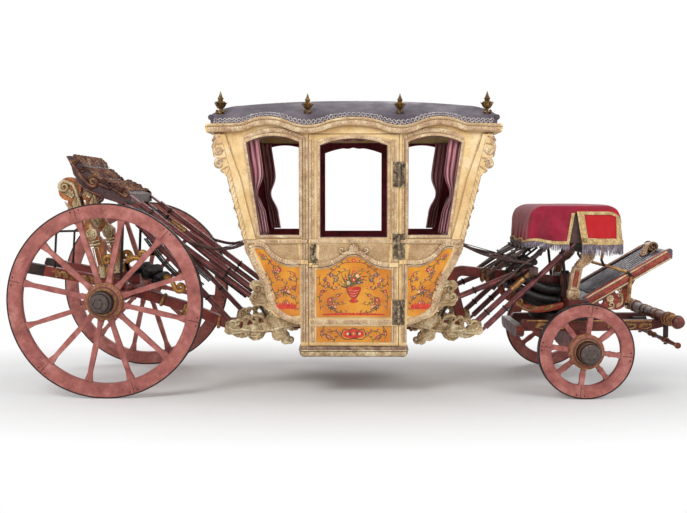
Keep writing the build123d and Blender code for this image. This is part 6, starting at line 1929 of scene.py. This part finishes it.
def hanging_straps():
    """Plaited straps and pads between the strap beam, the seat and the perch; the near-black rolls are partly painted
    shade.
    """
    straps, dark, irons = Piece(), Piece(), Piece()
    for y, (x0, z0), (x1, z1), wide in (
            (-0.47, (1.82, 1.29), (1.33, 0.915), 0.016), (-0.36, (1.7, 1.292), (1.24, 1.0), 0.03),
            (-0.29, (1.76, 1.292), (1.26, 1.005), 0.026), (-0.22, (1.69, 1.292), (1.23, 1.015), 0.026),
            (-0.14, (1.74, 1.292), (1.21, 1.02), 0.022), (-0.48, (1.7, 1.2), (1.42, 0.99), 0.02),
            (-0.33, (1.7, 1.25), (1.3, 0.88), 0.02), (-0.24, (1.64, 1.23), (1.33, 0.86), 0.018),
            (-0.4, (1.655, 1.286), (1.36, 1.06), 0.026), (-0.18, (1.6, 1.17), (1.39, 0.9), 0.022),
            (-0.455, (1.77, 1.27), (1.5, 1.01), 0.018)):
        d = np.array([x1 - x0, z1 - z0])
        d /= np.linalg.norm(d)
        sag = np.array([d[1], -d[0]]) * (1 if d[0] > 0 else -1)
        middle = (np.array([x0, z0]) + (x1, z1)) / 2 + sag * (-0.018)
        path = evenly(upright(smooth([(x0, z0), middle, (x1, z1)], 12), y), 0.013)
        up = (-d[1], 0, d[0]) if d[0] > 0 else (d[1], 0, -d[0])
        t = np.arange(len(path))
        straps.add(sweep(path, BEAD, up, wide * (1 - 0.16 * (t % 2)), 0.013 + 0.004 * (t % 2)))
        for share in (0.25, 0.62):
            k = int(share * (len(path) - 1))
            buckle(irons, path[k] + np.array(up) * 0.006, (d[0], 0, d[1]), up, wide + 0.008, 0.016)
    for x, z, r, y in ((1.585, 1.118, 0.034, 0.33), (1.668, 1.122, 0.03, 0.36), (1.54, 1.062, 0.03, 0.3)):
        t = np.linspace(-y, y, 41)
        path = np.stack([np.full(41, x), t, z + 0.004 * np.sin(t * 70)], 1)
        dark.add(tube(path, r * (0.9 + 0.1 * np.sin(t * 95) ** 2), 12))
    # These black rolls along the perch's end fill a place that is mostly shade: painted shade as well as leather
    for x0, z0, x1, z1, y, r in ((1.5, 0.9, 1.93, 0.76, 0.18, 0.05), (1.62, 0.96, 1.935, 0.86, 0.19, 0.052),
                                 (1.56, 0.82, 1.92, 0.715, 0.15, 0.036)):
        for side in (1, 0.45):
            path = evenly(upright(smooth([(x0, z0), ((x0 + x1) / 2, (z0 + z1) / 2 - 0.03), (x1, z1)], 8), -y * side),
                          0.02)
            dark.add(tube(path, r * (0.88 + 0.12 * np.sin(np.arange(len(path)) * 1.3) ** 2), 12))
    for line in ([(0.985, 1.302), (1.2, 1.205), (1.4, 1.158), (1.615, 1.118)],
                 [(-0.85, 1.315), (-0.98, 1.262), (-1.125, 1.248), (-1.25, 1.272), (-1.375, 1.312)]):
        path = evenly(upright(smooth(line, 8), -0.482), 0.016)
        straps.add(tube(path, 0.013 + 0.0015 * (np.arange(len(path)) % 2), 8))
    dark.shapes += dark.mirror(1).shapes[3:]
    return straps.both_sides(), dark, irons.both_sides()


straps, dark, irons = hanging_straps()
straps.make("hanging_straps", "coach", "brace_leather")
dark.make("leather_rolls_and_shade", "coach", "brace_leather", "black_leather_and_shade")
irons.make("strap_buckles", "coach", "iron")


def perch_bands():
    """Gilt collars and buckled straps round the perch."""
    gold, dark = Piece(), Piece()
    line = smooth([(-1.89, 0.832), (-1.56, 0.69), (-1.12, 0.535), (-0.3, 0.52), (0.8, 0.52)], 10)
    for x in (-1.7, -1.5, -1.48, -1.18, -0.78, 0.6):
        z = float(np.interp(x, line[:, 0], line[:, 1]))
        slope = float(np.interp(x + 0.02, line[:, 0], line[:, 1])) - z
        along = np.array([0.02, 0, slope])
        along /= np.linalg.norm(along)
        up = np.array([-along[2], 0, along[0]])
        ring = np.array([np.array([x, 0, z]) + (0, a, 0) + up * b for a, b in
                         ((-0.046, -0.047), (0.046, -0.047), (0.046, 0.047), (-0.046, 0.047))])
        gold.add(sweep(smooth(ring, 4, True), circle(1, 8), along, 0.007, 0.013, True))
    for x, z in ((1.255, 0.985), (1.3, 0.982), (1.345, 0.977), (1.48, 0.966), (1.52, 0.961)):
        ring = np.array([(x, -0.047, z - 0.05), (x, 0.047, z - 0.05), (x, 0.047, z + 0.046), (x, -0.047, z + 0.046)])
        (gold if x < 1.31 else dark).add(sweep(smooth(ring, 4, True), circle(1, 8), (1, 0, 0), 0.008, 0.014, True))
    return gold, dark


gold, dark = perch_bands()
gold.make("perch_collars", "coach", "gilt_wood", "nave_gilding")
dark.make("perch_straps", "coach", "brace_leather")


def fork_scrolls():
    """Red and gilt scrolled supports from the perch down to the transom."""
    red, gold = Piece(), Piece()
    line = smooth([(1.47, 0.905), (1.48, 0.82), (1.54, 0.745), (1.66, 0.7), (1.79, 0.705), (1.94, 0.735)], 8)
    y = -0.3
    red.add(sweep(upright(line, y), circle(1, 10), OUT, 0.03, 0.026))
    gold.curl([(1.66, 0.69), (1.6, 0.7), (1.53, 0.74)], 0.034, 1.3, -1, y - 0.026, 0.012, 0.012)
    for share in (0.15, 0.35, 0.55, 0.75):
        k = int(share * (len(line) - 1))
        tip = line[min(k + 6, len(line) - 1)] + (0.0, 0.022)
        gold.add(leaf(upright(smooth([line[k], tip], 4), y - 0.024), OUT, 0.02, 0.014, 5))
    return red.both_sides(), gold.both_sides()


red, gold = fork_scrolls()
red.make("fork_scrolls", "coach", "gear_wood", "red_gilt_paint")
gold.make("fork_leaves", "coach", "gilt_wood", "nave_gilding")


RAIL_SLOPE = math.radians(10.2)


def rail_carving():
    """Carved gilt stretch of the rear rails, with their black ends."""
    gold, dark = Piece(), Piece()
    slope, face = math.tan(RAIL_SLOPE), -0.3215

    def rail(x, up):
        return x, 0.874 - (x - REAR_X) * slope + up

    for x in np.arange(-2.24, -2.56, -0.062):
        gold.add(leaf(smooth(upright([rail(x, 0.02), rail(x - 0.04, 0.06), rail(x - 0.085, 0.05)], face), 5), OUT,
                      0.022, 0.013, 5))
        gold.add(flower((rail(x - 0.03, 0.04)[0], face, rail(x - 0.03, 0.03)[1]), OUT, 0.017, 0.012, 6))
    for x in (-2.215, -2.59):
        gold.add(sweep(upright([rail(x, 0.004), rail(x, 0.088)], face), BEAD, OUT, 0.01, 0.01))
    path = evenly(upright([rail(-2.7, 0.046), rail(-2.872, 0.046)], -0.28), 0.03)
    dark.add(sweep(path, np.array([(0.043, -0.046), (0.043, 0.046), (0.034, 0.049), (-0.034, 0.049), (-0.043, 0.046),
                                   (-0.043, -0.046), (-0.034, -0.049), (0.034, -0.049)]), (slope, 0, 1)))
    return gold.both_sides(), dark.both_sides()


gold, dark = rail_carving()
gold.make("rail_carving", "coach", "gilt_wood", "nave_gilding")
dark.make("rail_ends", "coach", "iron")


def rear_gear():
    """Straps, rolls and gilt scrolls over the rear bed; the near-black straps and rolls are partly painted shade."""
    dark, gold = Piece(), Piece()
    for y in (-0.33, -0.25, -0.16):
        for (x0, z0), (x1, z1), wide in (((-1.86, 1.6), (-0.9, 0.8), 0.014), ((-1.9, 1.48), (-1.3, 0.9), 0.018),
                                         ((-1.8, 1.33), (-1.48, 0.95), 0.022)):
            path = evenly(upright(smooth([(x0, z0), ((x0 + x1) / 2 - 0.012, (z0 + z1) / 2 - 0.015), (x1, z1)], 8), y),
                          0.02)
            t = np.arange(len(path))
            dark.add(sweep(path, BEAD, (0.64, 0, 0.77), wide * (1 - 0.12 * (t % 2)), 0.01))
    for x, z, y, r in ((-1.8, 1.01, 0.33, 0.06), (-1.72, 0.95, 0.3, 0.052), (-1.9, 1.04, 0.36, 0.05)):
        t = np.linspace(-y, y, 31)
        ends = np.sqrt(np.clip(1 - (t / y) ** 6, 0.004, 1))
        dark.add(tube(np.stack([np.full(31, x), t, np.full(31, z)], 1), r * ends * (0.9 + 0.1 * np.sin(t * 60) ** 2),
                      14))
    for points, r in (([(-1.62, 1.0), (-1.56, 0.96), (-1.52, 0.88)], 0.045),
                      ([(-1.96, 1.12), (-1.9, 1.16), (-1.82, 1.15)], 0.04),
                      ([(-2.08, 0.96), (-2.12, 1.04), (-2.08, 1.11)], 0.05)):
        gold.curl(points, r, 1.3, 1, -0.345, 0.022, 0.026)
        gold.acanthus(points, -0.345, 0.034, 0.028)
    return dark.both_sides(), gold.both_sides()


dark, gold = rear_gear()
# Near-black leather, partly painted shade over the rear bed
dark.make("rear_straps", "coach", "brace_leather", "black_leather_and_shade")
gold.make("rear_scrolls", "coach", "carved_wood")


def valance():
    """Velvet strip over the inside of each door's head."""
    made = Piece()
    for side in (-1, 1):
        x = np.arange(CABIN_X - 0.36, CABIN_X + 0.361, 0.012)
        path = np.stack([x, np.full(len(x), side * 0.686) + 0.0008 * np.sin(x * 150), np.full(len(x), 2.262)], 1)
        drop = 0.075 + 0.012 * np.abs(np.sin((x - CABIN_X) * 26))
        made.add(sweep(path, np.array([(-0.002, 0), (-0.002, -1), (0.002, -1), (0.002, 0)]), (0, 0, 1), 1, drop))
    return made


valance().make("door_valance", "coach", "upholstery")


# Edge leaves and stays

def edge_leaves():
    """Leaves along the outer edge of the cabin's corners, with a knot near the top."""
    made = Piece()
    for k, z in enumerate(np.arange(1.375, 2.15, 0.074)):
        x = CABIN_X + edge_x(z)
        reach = 0.022 + 0.01 * (k % 2)
        points = [(x - 0.014, z - 0.02), (x + reach * 0.8, z + 0.006), (x + reach, z + 0.046)]
        made.add(leaf(smooth(upright(points, -0.64), 5), OUT, 0.019, 0.02, 4))
    x = CABIN_X + edge_x(2.02)
    for turn in (-40, -10, 20, 50, 80):
        a = math.radians(turn)
        end = (x + 0.06 * math.cos(a), 2.02 + 0.07 * math.sin(a))
        points = [(x - 0.02, 2.02), ((x + end[0]) / 2 - 0.004, (2.02 + end[1]) / 2 + 0.008), end]
        for y in (-0.655, -0.6):
            made.add(leaf(smooth(upright(points, y), 5), OUT, 0.026, 0.03, 5))
    made.add(flower((x + 0.004, -0.68, 2.024), OUT, 0.034, 0.024, 8))
    return made.both_sides().both_ends()


edge_leaves().make("corner_leaves", "coach", "gilt_wood", "carved_gilding")


def gilt_stay():
    """Gilding over the bent stay beside the footboard."""
    made = Piece()
    route = [(2.262, -0.448, 1.304), (2.24, -0.426, 1.15), (2.266, -0.406, 1.104), (2.48, -0.398, 1.042),
             (2.514, -0.398, 1.01), (2.492, -0.398, 0.7565), (2.482, -0.342, 0.7505)]
    for a, b in zip(route, route[1:]):
        a, b = np.array(a), np.array(b)
        run = np.linalg.norm(b - a)
        if run < 0.08:
            continue
        path = evenly([a + (b - a) * 0.01 / run, b - (b - a) * 0.01 / run], 0.012)
        made.add(tube(path, 0.0132 + 0.0022 * (np.arange(len(path)) % 3 == 0), 10))
    return made.both_sides()


gilt_stay().make("gilt_stay", "coach", "iron", "nave_gilding")


# End walls

def wall_point(z, y, way, out=0.0):
    """Point on the outer face of an end wall above the waist; way is 1 at the front."""
    lean = math.hypot(1, LEAN)
    return (CABIN_X + way * (WAIST_HALF + (z - WAIST) * LEAN + out / lean), y, z - out * LEAN / lean)


def wall_carving(way, spans, knots):
    """Carved borders and leaf knots on an end wall."""
    made = Piece()
    up = np.array([way, 0, -LEAN]) / math.hypot(1, LEAN)
    for low, high, half in spans:
        corners = [(low, -half), (low, half), (high, half), (high, -half), (low, -half)]
        path = np.vstack([np.linspace(wall_point(a, b, way), wall_point(c, d, way), 30)[:-1]
                          for (a, b), (c, d) in zip(corners, corners[1:])])
        made.add(carved_band(path, up, 0.019, 0.012, 0.03, closed=True))
    for z, size in knots:
        centre = np.array(wall_point(z, 0.0, way))
        made.add(flower(centre, up, size * 0.42, 0.016, 8))
        for turn in range(0, 360, 45):
            a = math.radians(turn)
            reach = size * (1.5 if turn % 90 == 0 else 1.0)
            tip = np.array(wall_point(z + reach * math.sin(a), reach * math.cos(a), way))
            middle = (centre * 0.6 + tip * 0.4) + up * 0.004
            made.add(leaf(smooth([centre + up * 0.002, middle, tip], 6), up, size * 0.17, 0.012, 5))
    return made


for name, way, spans, knots in (
        ("rear_wall_carving", -1, ((1.42, 2.1, 0.52),), ((1.76, 0.16),)),
        ("front_wall_carving", 1, ((1.42, 1.68, 0.52), (1.712, 2.158, 0.46)), ((1.55, 0.085),))):
    wall_carving(way, spans, knots).make(name, "coach", "carved_wood", "carved_gilding")
